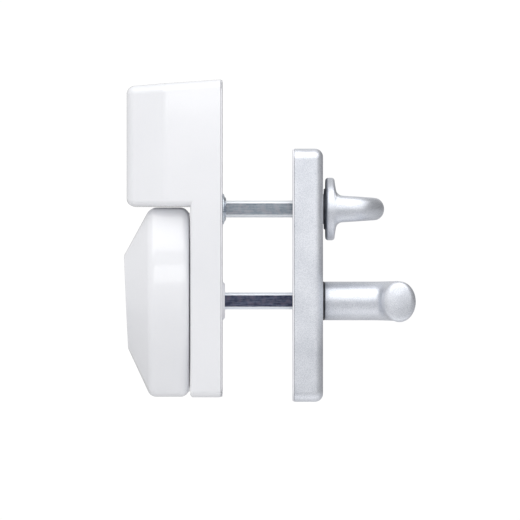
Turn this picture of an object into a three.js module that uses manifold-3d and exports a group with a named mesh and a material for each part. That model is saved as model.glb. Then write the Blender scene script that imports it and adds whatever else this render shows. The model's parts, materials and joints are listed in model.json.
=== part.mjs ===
// Two-sided keyed lock for the leaf of a door or window. A cast outer unit with a key tower and a
// turning guard sits outside the leaf, a cast inner unit with a lever and a thumb-turn sits inside,
// and two square bars pass through the leaf and join them.
// Millimetres. +X runs from outside to inside, +Z is up. The origin is the centre of the outer
// unit's seat on the leaf, midway between the two bars.
import * as THREE from 'three';
import { mergeVertices } from 'three/addons/utils/BufferGeometryUtils.js';
import Module from 'manifold-3d';

// Layout
const leafGap = 33.6; // clear space for the leaf between the two units
const barSpacing = 44;
const barSize = 8;
const barChamfer = 1.05;

// Clearances
const seatGap = 0.1; // between faces that bear on each other
const fitGap = 0.2; // round a piece that sits in a hole or pocket
const runGap = 0.1; // radial, between a shaft and its bush
const slotGap = 0.4; // round a crank pin in its slot
const swingGap = 0.5; // between the guard and the body it swings across
const padGap = 0.6; // round a bush or washer where it passes through the outer pad
const past = 1; // how far a cutting tool runs past what it cuts
const wide = 40; // half the width of a cutting tool that spans a whole piece

// Outer unit
const gasketThickness = 0.5;
const bodyWidth = 56;
const bodyTop = 83.4;
const bodyDepth = 14.5;
const bodyCorner = 5;
const bodyFootRadius = 2.6;
const bodyWall = 2.4;
const cavityLeastRadius = 0.8;
const coverThickness = 1.6;
const coverTopGap = 0.6;
const towerReach = 45.5; // from the seat to the tower's outer face
const towerTaperReach = 26.9; // from the seat to where the tower's sides start to taper
const towerFaceWidth = 42;
const towerTopDrop = 3.1; // how far the tower's top falls from the back to the outer face
const towerTopRadius = 4;
const towerFloorRadius = 3.3;

// Guard and its hub
const guardLength = 90.2;
const guardWidth = 54;
const guardDrop = 0.5; // its centre is this far below its axis
const guardBowRadius = 120; // of its near side
const guardCorner = 5; // at the ends of its near side
const guardCornerLeast = 1;
const guardThickness = 30.45; // from its back rim to the middle of its face
const guardSideDepth = 18.6; // height of its straight side
const guardFaceRadius = 22.2; // of its flat face, along its length
const guardFaceLean = 2.6; // degrees, the face stands further out at its upper end
const guardRimRadius = 2.3;
const guardShoulderEase = { along: 1.6, across: 1.5 }; // chamfer where the side turns to the slope
const guardFaceEase = { along: 1.1, out: 1.9, in: 1.6 }; // chamfer where the slope turns to the face
const guardWall = 2.5;
const guardBossLip = 0.5; // of the boss round the hub's flange
const guardBossWall = 3.5; // between the boss's core and its screw circle
const hubFlangeRim = 4; // of the flange outside its screw circle
const hubFlangeThickness = 4.2;
const hubShoulder = 1.3; // of the shaft outside its flats
const hubFlatWall = 2.23; // between the flats and the bar's corner
const hubTailWall = 2.03;
const hubTailProud = 0.9;
const hubTailChamfer = 1;
const hubBarStop = 2; // wall left at the closed end of the hub's square hole
const hubScrewReach = 4.5; // of the screw circle outside the shaft
const hubScrewAngles = [90, 210, 330];
const guardBushWall = 1.9;
const guardBushFlangeReach = 2.2;
const guardBushFlange = 0.9;
const rearBushWall = 2.4;
const rearBushTipWall = 1.1;
const rearBushProud = 1.2;
const discRadius = 20;
const discThickness = 4;
const discStandoff = 0.5; // from the body's front wall
const detentDepth = 1.2;
const detentDrop = 8.2; // of the leaf's screw below the disc
const detentPad = { rise: 0.6, halfHeight: 3.4, sides: [6, 15] };
const detentScrewPlace = 10.5;
const leafSpring = { thickness: 0.6, drop: 2.6, crest: 0.52, foot: 3.6, sides: [-13, 15] };
const leafTab = { sides: [7, 14], height: 3 };

// Locking bolt and its drives
const crankRadius = 5;
const crankPinRadius = 2;
const boltThickness = 3.6;
const boltSideWall = 1.6; // beside the crank slots
const boltSideGap = 0.8; // between the bolt and the fixing posts
const boltTipWidth = 7.6;
const boltTipClear = 0.8; // above the index disc when it is drawn back
const boltTipLength = 7.7;
const boltTipRadius = 0.8;
const boltShoulderRadius = 1.5;
const boltHead = 5; // plate above the centre of its upper slot
const boltHeadRadius = 2;
const guideStart = 3; // of the bolt's guides above its tip
const guideWidth = 5;
const keeperThickness = 1;
const keeperHeight = 7;
const keeperReach = 4.8; // of the keeper over each guide
const keeperCorner = 1.2;
const keeperScrewReach = 2.6;
const rotorFlangeReach = 1.6;
const rotorFlange = 2.5;
const rotorWall = 1.43; // outside the bar's corner
const rotorBarStop = 1;
const rotorBushWall = 0.9;
const retainerWall = 2.33; // outside the bar's corner
const retainerProud = 1.8;
const retainerRim = 0.6;
const retainerSlope = { rise: 1.35, reach: 1.1, crown: 2 };

// Key cylinder
const cylinderHeight = 54; // of its axis above the origin
const cylinderRadius = 11;
const cylinderFaceRadius = 9.4;
const cylinderLength = 25;
const cylinderSocketWall = 2.6;
const cylinderSocketDepth = 19;
const cylinderRecess = 0.3;
const plugRadius = 6;
const plugRecess = 0.1;
const plugTail = 4.6;
const keywayWidth = 1.7;
const keywayHeight = 7.6;
const keywayDepth = 24;
const wardStep = 0.5;
const wardSlope = 0.4;
const wardWindows = { right: [3, 5], left: [1, 2.6] }; // heights of the two wards in the keyway
const camRadius = 8;
const camThickness = 2.5;

// Inner unit
const innerGasketThickness = 0.6;
const innerWidth = 46;
const innerTop = 50.6;
const innerBottom = -69.9;
const innerDepth = 13.7;
const innerCorner = 5;
const innerEdge = 3.9;
const innerWall = 2.4;
const baseThickness = 1.6;
const bushLip = 1.1;
const bushLipReach = 1.8;
const thumbSpindleWall = 1.43; // outside the bar's corner
const thumbBushWall = 0.65;
const thumbDiscRadius = 15;
const thumbDiscThickness = 4.4;
const thumbDiscStandoff = 1.2;
const thumbDiscRim = 1.4;
const thumbStepRadius = 9.75;
const thumbStep = 0.7;
const thumbReach = 29.45; // from the inner unit's face to the blade's tip
const thumbRoot = 12.2; // blade thickness at the disc
const thumbTip = 9.7;
const thumbTipRound = 0.94; // share of the tip's half thickness that is rounded
const thumbFillet = 4.3;
const thumbEdge = 3;
const thumbBarStop = 1.4; // wall between the bar's end and the disc's face
const leverSpindleWall = 2.23; // outside the bar's corner
const leverBushWall = 1.3;
const leverNeckWall = 2.05; // outside the spindle
const leverWasher = 0.8;
const leverReach = 35.5; // from the inner unit's face to the grip's axis
const leverLength = 60; // from the neck's axis to the grip's end
const leverGripHeight = 19.2;
const leverGripWidth = 15.4;
const leverEndRadius = 2.6;
const leverEndCrown = 0.3;
const leverHeelProud = 0.15; // of the grip behind the neck
const leverHeelDome = 7;
const leverBarDepth = 14; // of the bar inside the neck
const leverBarStop = 0.5;
const leverGrub = { shank: 2.4, recess: 0.65, reach: 8, socket: 1.3, socketDepth: 2.6 };
const clipThickness = 0.9;
const clipReach = 2.6;
const clipGroove = 0.7;
const clipMouth = 70; // degrees

// Screws: shank radius, head radius, head depth, length
const coverScrew = { shank: 1.45, head: 2.8, sink: 1.3, length: 9 };
const guardScrew = { shank: 1.9, head: 3.6, sink: 1.9, length: 11 };
const keeperScrew = { shank: 1.2, head: 2.2, rise: 1.2, length: 4.4 };
const detentScrew = { shank: 1.45, head: 2.6, rise: 1.3, length: 4.6 };
const camScrew = { shank: 1.6, head: 3, sink: 1.6, length: 8 };
const baseScrew = { shank: 1.45, head: 2.6, rise: 0.6, length: 8 }; // a thin head, within the gasket
const socketShare = 0.8; // a screw's hexagon socket, as a share of its shank
const socketDepthShare = 0.6; // of its head
const fixingHole = 2.75; // radius, for the through screws that clamp the two units on the leaf
const fixingHead = 4.6; // radius of their countersinks
const fixingPost = 4.6;
const fixingPilot = { radius: 2.35, depth: 12 };
const fixingBelowDetent = 7.8;
const basePost = 3.6;
const baseScrewInset = 8; // from the inner unit's ends
const coverPost = 3.8;
const coverPostStart = 2; // behind the start of the tower's taper
const coverScrewInset = 5.6; // from the body's sides
const coverScrewTopInset = 13.4;
const coverScrewFootInset = 19.6;

// Facets
const roundSteps = 24;
const guardArcSteps = 5;
const largeSteps = 36;
const bladeSteps = 10;
const tipSteps = 4;
const domeSteps = 6;
const grubSteps = 16;
const screwSteps = 8;
const postSteps = 14;
const cornerSteps = 3;

// Sizes and places that follow from the ones above
const barReach = Math.hypot(barSize / 2, barSize / 2 - barChamfer); // to the bar's corner
const rotorRadius = barReach + rotorWall;
const retainerRadius = barReach + retainerWall;
const hubFlatHalf = barReach + hubFlatWall;
const hubRadius = hubFlatHalf + hubShoulder;
const hubTailRadius = barReach + hubTailWall;
const hubScrewCircle = hubRadius + hubScrewReach;
const hubFlangeRadius = hubScrewCircle + hubFlangeRim;
const guardBossRadius = hubFlangeRadius + guardBossLip;
const guardBossBore = hubScrewCircle - guardBossWall;
const guardBushRadius = hubRadius + runGap + guardBushWall;
const rearBushBore = hubTailRadius + runGap;
const rearBushRadius = rearBushBore + rearBushWall;
const rotorBushRadius = rotorRadius + runGap + rotorBushWall;
const thumbSpindleRadius = barReach + thumbSpindleWall;
const leverSpindleRadius = barReach + leverSpindleWall;
const leverNeckRadius = leverSpindleRadius + leverNeckWall;
const thumbBushRadius = thumbSpindleRadius + runGap + thumbBushWall;
const leverBushRadius = leverSpindleRadius + runGap + leverBushWall;
const upperZ = barSpacing / 2;
const lowerZ = -barSpacing / 2;
const guardCentreZ = lowerZ - guardDrop;
const towerFloor = guardCentreZ + guardLength / 2 + swingGap;
const bodyBottom = guardCentreZ - guardLength / 2;
const bodyBack = -gasketThickness - seatGap;
const bodyFront = bodyBack - bodyDepth;
const bodyFloor = bodyFront + bodyWall;
const coverBack = bodyBack - seatGap;
const coverFront = coverBack - coverThickness;
const lipEnd = coverFront - seatGap; // back of the bush lips behind the cover
const guardBack = bodyFront - swingGap;
const guardFace = guardBack - guardThickness;
const guardShoulder = guardBack - guardSideDepth;
const hubFlangeBack = bodyFront - guardBushFlange - 2 * seatGap;
const hubFlangeFront = hubFlangeBack - hubFlangeThickness;
const discFront = bodyFloor + discStandoff;
const discBack = discFront + discThickness;
const detentZ = lowerZ - discRadius - detentDrop;
const detentPadTop = discFront + detentPad.rise;
const crankOffset = crankRadius * Math.SQRT1_2;
const boltWidth = 2 * (crankRadius + crankPinRadius + slotGap + boltSideWall);
const boltFront = discFront + (discThickness - boltThickness) / 2;
const boltBack = boltFront + boltThickness;
const boltTravel = 2 * crankOffset;
const boltTipZ = lowerZ + discRadius + boltTipClear;
const boltShoulder = boltTipZ + boltTipLength;
const guideInner = boltWidth / 2 + fitGap;
const keeperY = guideInner + keeperScrewReach;
const keeperZ = boltTipZ + guideStart + seatGap + keeperHeight / 2;
const rotorFront = boltBack + fitGap;
const rotorFlangeBack = rotorFront + rotorFlange;
const upperBarStart = rotorFlangeBack - rotorBarStop;
const lowerBarStart = hubFlangeFront + hubBarStop;
const towerInside = -towerReach + bodyWall;
const cylinderFront = -towerReach + cylinderRecess;
const cylinderBack = cylinderFront + cylinderLength;
const cylinderGrooveFront = towerInside + cylinderSocketDepth + seatGap;
const cylinderGrooveBack = cylinderGrooveFront + clipThickness + 2 * seatGap;
const plugBack = cylinderBack + plugTail;
const camFront = plugBack + seatGap;
const camBack = camFront + camThickness;
const innerSeat = leafGap;
const innerBack = innerSeat + innerGasketThickness + seatGap;
const innerFace = innerBack + innerDepth;
const innerInside = innerFace - innerWall;
const baseBack = innerBack + seatGap;
const baseFront = baseBack + baseThickness;
const lipBack = innerInside - seatGap - bushLip;
const clipFront = lipBack - seatGap;
const clipBack = clipFront - clipThickness;
const spindleBack = clipBack - clipReach;
const thumbDiscBack = innerFace + thumbDiscStandoff;
const thumbDiscFront = thumbDiscBack + thumbDiscThickness;
const thumbBushEnd = thumbDiscBack - thumbStep - seatGap;
const thumbHoleEnd = thumbDiscFront - thumbBarStop;
const thumbEnd = innerFace + thumbReach;
const leverBushEnd = innerFace - fitGap;
const leverShoulder = innerFace + leverWasher + 2 * seatGap;
const leverAxisX = innerFace + leverReach;
const leverGrubX = leverShoulder + leverGrub.reach;
const lowerBarEnd = leverShoulder + leverBarDepth;

// Places across the leaf, as [y, z]
const fixingHalfSpan = boltWidth / 2 + boltSideGap + fixingPost;
const fixingTop = (upperZ + cylinderHeight) / 2;
const fixingBottom = detentZ - fixingBelowDetent;
const fixingPlaces = [
  [-fixingHalfSpan, fixingTop],
  [fixingHalfSpan, fixingTop],
  [-fixingHalfSpan, fixingBottom],
  [fixingHalfSpan, fixingBottom],
];
const coverScrewHalfSpan = bodyWidth / 2 - coverScrewInset;
const coverScrewTop = bodyTop - coverScrewTopInset;
const coverScrewBottom = bodyBottom + coverScrewFootInset;
const coverScrewPlaces = [
  [-coverScrewHalfSpan, coverScrewTop],
  [coverScrewHalfSpan, coverScrewTop],
  [-coverScrewHalfSpan, coverScrewBottom],
  [coverScrewHalfSpan, coverScrewBottom],
];
const keeperScrewPlaces = [[-keeperY, keeperZ], [keeperY, keeperZ]];
const baseScrewHeights = [innerTop - baseScrewInset, innerBottom + baseScrewInset];
const hubScrewPlaces = hubScrewAngles.map((degrees) => {
  const angle = THREE.MathUtils.degToRad(degrees);
  return [hubScrewCircle * Math.cos(angle), lowerZ + hubScrewCircle * Math.sin(angle)];
});

const wasm = await Module();
wasm.setup();

// A closed three.js geometry as a solid that can be joined and cut.
function solid(geometry) {
  geometry.deleteAttribute('normal');
  geometry.deleteAttribute('uv');
  const merged = mergeVertices(geometry, 1e-4);
  const corners = merged.index.array;
  const kept = [];
  for (let i = 0; i < corners.length; i += 3) {
    const [a, b, c] = corners.slice(i, i + 3);
    if (a !== b && b !== c && c !== a) kept.push(a, b, c);
  }
  const vertProperties = new Float32Array(merged.attributes.position.array);
  return new wasm.Manifold(new wasm.Mesh({ numProp: 3, vertProperties, triVerts: new Uint32Array(kept) }));
}

const finishes = {
  whitePaint: { color: 0xf1f1f5, roughness: 0.38, metalness: 0 },
  silverPaint: { color: 0xd2d4dc, roughness: 0.42, metalness: 0.55 },
  plated: { color: 0xc9d2dc, roughness: 0.25, metalness: 0.9 },
  steel: { color: 0x8d9099, roughness: 0.4, metalness: 0.9 },
  darkSteel: { color: 0x5c5d70, roughness: 0.45, metalness: 0.85 },
  acetal: { color: 0xcfd0d8, roughness: 0.5, metalness: 0 },
  blackPlastic: { color: 0x1b1b1e, roughness: 0.55, metalness: 0 },
  rubber: { color: 0x9a9ca3, roughness: 0.8, metalness: 0 },
  brass: { color: 0xc8a860, roughness: 0.35, metalness: 0.9 },
};

// A named piece of the lock, from a solid.
function piece(name, form, finish) {
  const { vertProperties, triVerts } = form.getMesh();
  const geometry = new THREE.BufferGeometry();
  geometry.setAttribute('position', new THREE.BufferAttribute(vertProperties, 3));
  geometry.setIndex(new THREE.BufferAttribute(triVerts, 1));
  geometry.computeVertexNormals();
  const mesh = new THREE.Mesh(geometry, new THREE.MeshStandardMaterial(finishes[finish]));
  mesh.name = name;
  return mesh;
}

function joined(...forms) {
  return forms.reduce((sum, form) => sum.add(form));
}

function cut(form, ...tools) {
  return tools.reduce((rest, tool) => rest.subtract(tool), form);
}

function box([x0, x1], [y0, y1], [z0, z1]) {
  const geometry = new THREE.BoxGeometry(x1 - x0, y1 - y0, z1 - z0);
  geometry.translate((x0 + x1) / 2, (y0 + y1) / 2, (z0 + z1) / 2);
  return solid(geometry);
}

// A round bar along X, from x0 to x1.
function rod(radius, x0, x1, y = 0, z = 0, steps = roundSteps) {
  const geometry = new THREE.CylinderGeometry(radius, radius, Math.abs(x1 - x0), steps);
  geometry.rotateZ(-Math.PI / 2);
  geometry.translate((x0 + x1) / 2, y, z);
  return solid(geometry);
}

function latheAlongX(profile, steps) {
  const geometry = new THREE.LatheGeometry(profile.map(([x, r]) => new THREE.Vector2(r, x)), steps);
  geometry.rotateZ(-Math.PI / 2);
  return geometry;
}

// A turned piece along X. Its profile is a list of [x, radius], from its low end to its high end.
function turned(profile, y = 0, z = 0, steps = roundSteps) {
  const geometry = latheAlongX(profile, steps);
  geometry.translate(0, y, z);
  return solid(geometry);
}

function ring(outer, inner, x0, x1, z) {
  return cut(rod(outer, x0, x1, 0, z), rod(inner, x0 - past, x1 + past, 0, z));
}

// The three prisms take a shape drawn on the plane square to their axis.
function prism(shape, depth, basis, options = {}) {
  const settings = { depth, bevelEnabled: false, curveSegments: cornerSteps, ...options };
  const geometry = new THREE.ExtrudeGeometry(shape, settings);
  geometry.applyMatrix4(basis);
  return solid(geometry);
}

function basisOf(u, v, w, origin) {
  return new THREE.Matrix4().makeBasis(u, v, w).setPosition(origin);
}

const alongX = new THREE.Vector3(1, 0, 0);
const alongY = new THREE.Vector3(0, 1, 0);
const alongZ = new THREE.Vector3(0, 0, 1);

function prismX(shape, x0, x1, options) {
  return prism(shape, x1 - x0, basisOf(alongY, alongZ, alongX, new THREE.Vector3(x0, 0, 0)), options);
}

function prismY(shape, y0, y1, options) {
  return prism(shape, y1 - y0, basisOf(alongZ, alongX, alongY, new THREE.Vector3(0, y0, 0)), options);
}

function prismZ(shape, z0, z1, options) {
  return prism(shape, z1 - z0, basisOf(alongX, alongY, alongZ, new THREE.Vector3(0, 0, z0)), options);
}

// An outline with rounded corners. Each corner is [u, v, radius].
function outline(corners) {
  const shape = new THREE.Shape();
  const count = corners.length;
  corners.forEach(([u, v, radius], i) => {
    const corner = new THREE.Vector2(u, v);
    if (!radius) {
      if (i === 0) shape.moveTo(u, v);
      else shape.lineTo(u, v);
      return;
    }
    const before = new THREE.Vector2(...corners[(i + count - 1) % count]).sub(corner).normalize();
    const after = new THREE.Vector2(...corners[(i + 1) % count]).sub(corner).normalize();
    const half = Math.acos(before.dot(after)) / 2;
    const reach = radius / Math.tan(half);
    const start = before.clone().multiplyScalar(reach).add(corner);
    const end = after.clone().multiplyScalar(reach).add(corner);
    const middle = before.clone().add(after).normalize();
    const centre = middle.multiplyScalar(radius / Math.sin(half)).add(corner);
    if (i === 0) shape.moveTo(start.x, start.y);
    else shape.lineTo(start.x, start.y);
    const from = Math.atan2(start.y - centre.y, start.x - centre.x);
    const to = Math.atan2(end.y - centre.y, end.x - centre.x);
    shape.absarc(centre.x, centre.y, radius, from, to, before.cross(after) > 0);
  });
  return shape;
}

function rectangle(halfWidth, low, high, radius = 0) {
  return outline([
    [-halfWidth, low, radius],
    [halfWidth, low, radius],
    [halfWidth, high, radius],
    [-halfWidth, high, radius],
  ]);
}

// The chamfered square of a drive bar, or of the hole that takes it.
function barShape(gap, z) {
  const half = barSize / 2 + gap;
  const inner = half - barChamfer;
  return outline([
    [-inner, z - half], [inner, z - half], [half, z - inner], [half, z + inner],
    [inner, z + half], [-inner, z + half], [-half, z + inner], [-half, z - inner],
  ]);
}

// A slot whose end centres are at y0 and y1.
function slotShape(y0, y1, z, radius) {
  const shape = new THREE.Shape();
  shape.absarc(y1, z, radius, -Math.PI / 2, Math.PI / 2, false);
  shape.absarc(y0, z, radius, Math.PI / 2, (3 * Math.PI) / 2, false);
  return shape;
}

// A countersunk or pan head screw along X. Its head's flat is at x, and it points along sign.
function screw({ shank, head, sink = 0, rise = 0, length }, x, sign, y, z) {
  const profile = [[0, 0], [0, head]];
  if (rise) profile.push([rise, head], [rise, shank]);
  else profile.push([sink, shank]);
  const tip = rise + length;
  profile.push([tip - shank, shank], [tip, shank / 3], [tip, 0]);
  const placed = profile.map(([along, r]) => [x + sign * along, r]);
  if (sign < 0) placed.reverse();
  const socket = outline(
    [0, 1, 2, 3, 4, 5].map((i) => {
      const angle = (i * Math.PI) / 3;
      return [y + shank * socketShare * Math.cos(angle), z + shank * socketShare * Math.sin(angle)];
    }),
  );
  const depth = (sink + rise) * socketDepthShare;
  const [low, high] = sign > 0 ? [x - past, x + depth] : [x - depth, x + past];
  return cut(turned(placed, y, z, screwSteps), prismX(socket, low, high));
}

// The hole that a screw passes through or bites into, with its countersink.
function screwHole({ shank, head, sink = 0, length }, x, sign, y, z, gap = fitGap) {
  const end = x + sign * (length + sink + past);
  const bore = rod(shank + gap, Math.min(x, end), Math.max(x, end), y, z, screwSteps);
  if (!sink) return bore;
  const top = x - sign * past;
  const cone = [[top, head + gap], [x, head + gap], [x + sign * (sink + gap), shank + gap / 2]];
  const profile = [[top, 0], ...cone, [cone[2][0], 0]];
  if (sign < 0) profile.reverse();
  return joined(bore, turned(profile, y, z, screwSteps));
}

// Holes for the through screws, in a piece from x0 to x1.
function fixingHoles(x0, x1) {
  return joined(...fixingPlaces.map(([y, z]) => rod(fixingHole, x0 - past, x1 + past, y, z, screwSteps)));
}

// The outer body's form, drawn in by inset on every side but its back.
function bodyForm(inset, back) {
  const top = bodyTop - inset;
  const drop = (towerTopDrop * (towerReach - inset)) / towerReach;
  const soft = (radius) => Math.max(radius - inset, cavityLeastRadius);
  const front = -towerReach + inset;
  const side = outline([
    [bodyBottom + inset, back],
    [bodyBottom + inset, bodyFront + inset, soft(bodyFootRadius)],
    [towerFloor + inset, bodyFront + inset],
    [towerFloor + inset, front, soft(towerFloorRadius)],
    [top - drop, front, soft(towerTopRadius)],
    [top, back],
  ]);
  const half = bodyWidth / 2 - inset;
  const faceHalf = towerFaceWidth / 2 - inset;
  const plan = outline([
    [back, -half],
    [back, half],
    [-towerTaperReach + inset / 3, half],
    [front, faceHalf, soft(towerTopRadius)],
    [front, -faceHalf, soft(towerTopRadius)],
    [-towerTaperReach + inset / 3, -half],
  ]);
  const end = rectangle(half, bodyBottom + inset, top, soft(bodyCorner));
  return prismY(side, -half - past, half + past)
    .intersect(prismZ(plan, bodyBottom - past, bodyTop + past))
    .intersect(prismX(end, front - past, back));
}

function boltGuides() {
  const outer = guideInner + guideWidth;
  const low = boltTipZ + guideStart;
  const tall = [low, low + keeperHeight + 2 * seatGap];
  const deep = [bodyFloor - past, boltBack + seatGap];
  return joined(box(deep, [guideInner, outer], tall), box(deep, [-outer, -guideInner], tall));
}

function outerBody() {
  const shell = cut(bodyForm(0, bodyBack), bodyForm(bodyWall, bodyBack + past));
  const postEnd = coverFront - seatGap;
  const pilotStart = postEnd - fixingPilot.depth;
  const longPosts = fixingPlaces.map(([y, z]) => {
    const start = z > towerFloor ? towerInside : bodyFloor;
    return rod(fixingPost, start - past, postEnd, y, z, postSteps);
  });
  const shortPosts = coverScrewPlaces.map(([y, z]) => {
    const start = z > towerFloor ? coverPostStart - towerTaperReach : bodyFloor - past;
    return rod(coverPost, start, postEnd, y, z, postSteps);
  });
  const socketRadius = cylinderRadius + fitGap + cylinderSocketWall;
  const socket = rod(socketRadius, towerInside - past, towerInside + cylinderSocketDepth, 0, cylinderHeight);
  const padHeights = [detentZ - detentPad.halfHeight, detentZ + detentPad.halfHeight];
  const pad = box([bodyFloor - past, detentPadTop], detentPad.sides, padHeights);
  return cut(
    joined(shell, ...longPosts, ...shortPosts, socket, boltGuides(), pad),
    rod(cylinderRadius + fitGap, towerInside - runGap / 2, 0, 0, cylinderHeight),
    rod(cylinderFaceRadius + fitGap, -towerReach - past, towerInside + past, 0, cylinderHeight),
    rod(guardBushRadius + fitGap, bodyFront - past, bodyFloor + past, 0, lowerZ),
    ...fixingPlaces.map(([y, z]) => rod(fixingPilot.radius, pilotStart, postEnd + past, y, z, screwSteps)),
    ...coverScrewPlaces.map(([y, z]) => screwHole(coverScrew, coverBack, -1, y, z, runGap)),
    ...keeperScrewPlaces.map(([y, z]) => screwHole(keeperScrew, boltBack + past, -1, y, z, runGap)),
    screwHole(detentScrew, detentPadTop + past, -1, detentScrewPlace, detentZ, runGap),
  );
}

function backCover() {
  const inset = bodyWall + fitGap;
  const sheet = rectangle(
    bodyWidth / 2 - inset, bodyBottom + inset, bodyTop - bodyWall - coverTopGap, bodyCorner - bodyWall,
  );
  return cut(
    prismX(sheet, coverFront, coverBack),
    rod(rearBushRadius + fitGap, coverFront - past, coverBack + past, 0, lowerZ),
    rod(rotorBushRadius + fitGap, coverFront - past, coverBack + past, 0, upperZ),
    fixingHoles(coverFront, coverBack),
    ...coverScrewPlaces.map(([y, z]) => screwHole(coverScrew, coverBack, -1, y, z)),
  );
}

function backGasket() {
  const pad = rectangle(bodyWidth / 2 - fitGap, bodyBottom + fitGap, bodyTop - fitGap, bodyCorner);
  return cut(
    prismX(pad, -gasketThickness, 0),
    rod(rearBushRadius + padGap, -gasketThickness - past, past, 0, lowerZ),
    rod(retainerRadius + padGap, -gasketThickness - past, past, 0, upperZ),
    fixingHoles(-gasketThickness, 0),
  );
}

// The guard's outline seen from outside, drawn in by inset. Its far side is half an oval, which swings
// up past the tower. Its near side swings down, so it is only bowed, with tight corners.
function guardOutline(inset) {
  const half = guardWidth / 2 - inset;
  const tall = guardLength / 2 - inset;
  const bow = guardBowRadius - inset;
  const corner = Math.max(guardCorner - inset, guardCornerLeast);
  const turn = Math.asin((tall - corner) / (bow - corner));
  const cornerY = bow - half - (bow - corner) * Math.cos(turn);
  const shape = new THREE.Shape();
  shape.absellipse(0, 0, half, tall, -Math.PI / 2, Math.PI / 2, false, 0);
  shape.absarc(cornerY, tall - corner, corner, Math.PI / 2, Math.PI - turn, false);
  shape.absarc(bow - half, 0, bow, Math.PI - turn, Math.PI + turn, false);
  shape.absarc(cornerY, corner - tall, corner, Math.PI + turn, (3 * Math.PI) / 2, false);
  return shape;
}

// The guard's section from its back rim to its face, as [x, height], drawn in by inset.
function guardProfile(inset, back) {
  const tall = guardLength / 2 - inset;
  const shoulder = guardShoulder + inset / 2;
  const face = guardFace + inset;
  const shoulderEase = [shoulder - guardShoulderEase.along, tall - guardShoulderEase.across];
  const faceEase = [face + guardFaceEase.along, guardFaceRadius + guardFaceEase.out];
  const points = [];
  if (!inset) {
    for (let i = 0; i <= cornerSteps; i += 1) {
      const angle = (i / cornerSteps) * (Math.PI / 2);
      const rise = guardRimRadius * (1 - Math.sin(angle));
      points.push([back - guardRimRadius * (1 - Math.cos(angle)), tall - rise]);
    }
  } else {
    points.push([back, tall]);
  }
  points.push([shoulder, tall], shoulderEase, faceEase, [face, guardFaceRadius - guardFaceEase.in]);
  return [[face, 0], ...points.reverse(), [back, 0]];
}

// The guard's form: its section carried round its outline, with the front part leaning.
function guardForm(inset, back) {
  const profile = guardProfile(inset, back);
  const rim = guardOutline(inset).getPoints(guardArcSteps);
  if (rim[0].distanceTo(rim.at(-1)) > seatGap) rim.push(rim[0]);
  const geometry = latheAlongX(profile, rim.length - 1);
  const tall = guardLength / 2 - inset;
  const lean = Math.tan(THREE.MathUtils.degToRad(guardFaceLean));
  rim.forEach((point, i) => {
    profile.forEach(([x, height], j) => {
      const y = (point.x * height) / tall;
      const z = (point.y * height) / tall;
      const forward = Math.max(0, (guardShoulder - x) / (guardShoulder - guardFace));
      geometry.attributes.position.setXYZ(i * profile.length + j, x - lean * z * Math.min(forward, 1), y, z);
    });
  });
  geometry.translate(0, 0, guardCentreZ);
  return solid(geometry);
}

function swingGuard() {
  const bossEnd = hubFlangeFront - seatGap;
  const form = guardForm(0, guardBack);
  const boss = rod(guardBossRadius, guardFace, bossEnd, 0, lowerZ).intersect(form);
  const core = rod(guardBossBore, guardFace + 2 * guardWall, bossEnd + past, 0, lowerZ);
  return cut(
    joined(cut(form, guardForm(guardWall, guardBack + past)), boss),
    core,
    ...hubScrewPlaces.map(([y, z]) => screwHole(guardScrew, hubFlangeBack, -1, y, z, runGap)),
  );
}

function guardHub() {
  const groove = discBack + seatGap;
  const neck = groove + clipThickness + 2 * seatGap;
  const body = turned([
    [hubFlangeFront, 0],
    [hubFlangeFront, hubFlangeRadius],
    [hubFlangeBack, hubFlangeRadius],
    [hubFlangeBack, hubRadius],
    [groove, hubRadius],
    [groove, hubFlatHalf - clipGroove],
    [neck, hubFlatHalf - clipGroove],
    [neck, hubFlatHalf],
    [neck + hubTailChamfer, hubTailRadius],
    [hubTailProud, hubTailRadius],
    [hubTailProud, 0],
  ], 0, lowerZ);
  const flats = [-1, 1].map((side) => {
    const heights = [lowerZ + side * hubFlatHalf, lowerZ + side * hubFlangeRadius].sort((a, b) => a - b);
    return box([bodyFloor + fitGap, neck + 2 * hubTailChamfer], [-wide, wide], heights);
  });
  return cut(
    body,
    ...flats,
    prismX(barShape(fitGap / 2, lowerZ), lowerBarStart, hubTailProud + past),
    ...hubScrewPlaces.map(([y, z]) => screwHole(guardScrew, hubFlangeBack, -1, y, z)),
  );
}

function guardBush() {
  const flangeFront = bodyFront - seatGap - guardBushFlange;
  const form = joined(
    rod(guardBushRadius, flangeFront, bodyFloor, 0, lowerZ),
    rod(guardBushRadius + guardBushFlangeReach, flangeFront, bodyFront - seatGap, 0, lowerZ),
  );
  return cut(form, rod(hubRadius + runGap, flangeFront - past, bodyFloor + past, 0, lowerZ));
}

function rearBush() {
  const form = turned([
    [lipEnd - bushLip, 0],
    [lipEnd - bushLip, rearBushRadius + bushLipReach],
    [lipEnd, rearBushRadius + bushLipReach],
    [lipEnd, rearBushRadius],
    [0, rearBushRadius],
    [rearBushProud, rearBushBore + rearBushTipWall],
    [rearBushProud, 0],
  ], 0, lowerZ);
  return cut(form, rod(rearBushBore, lipEnd - bushLip - past, rearBushProud + past, 0, lowerZ));
}

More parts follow.
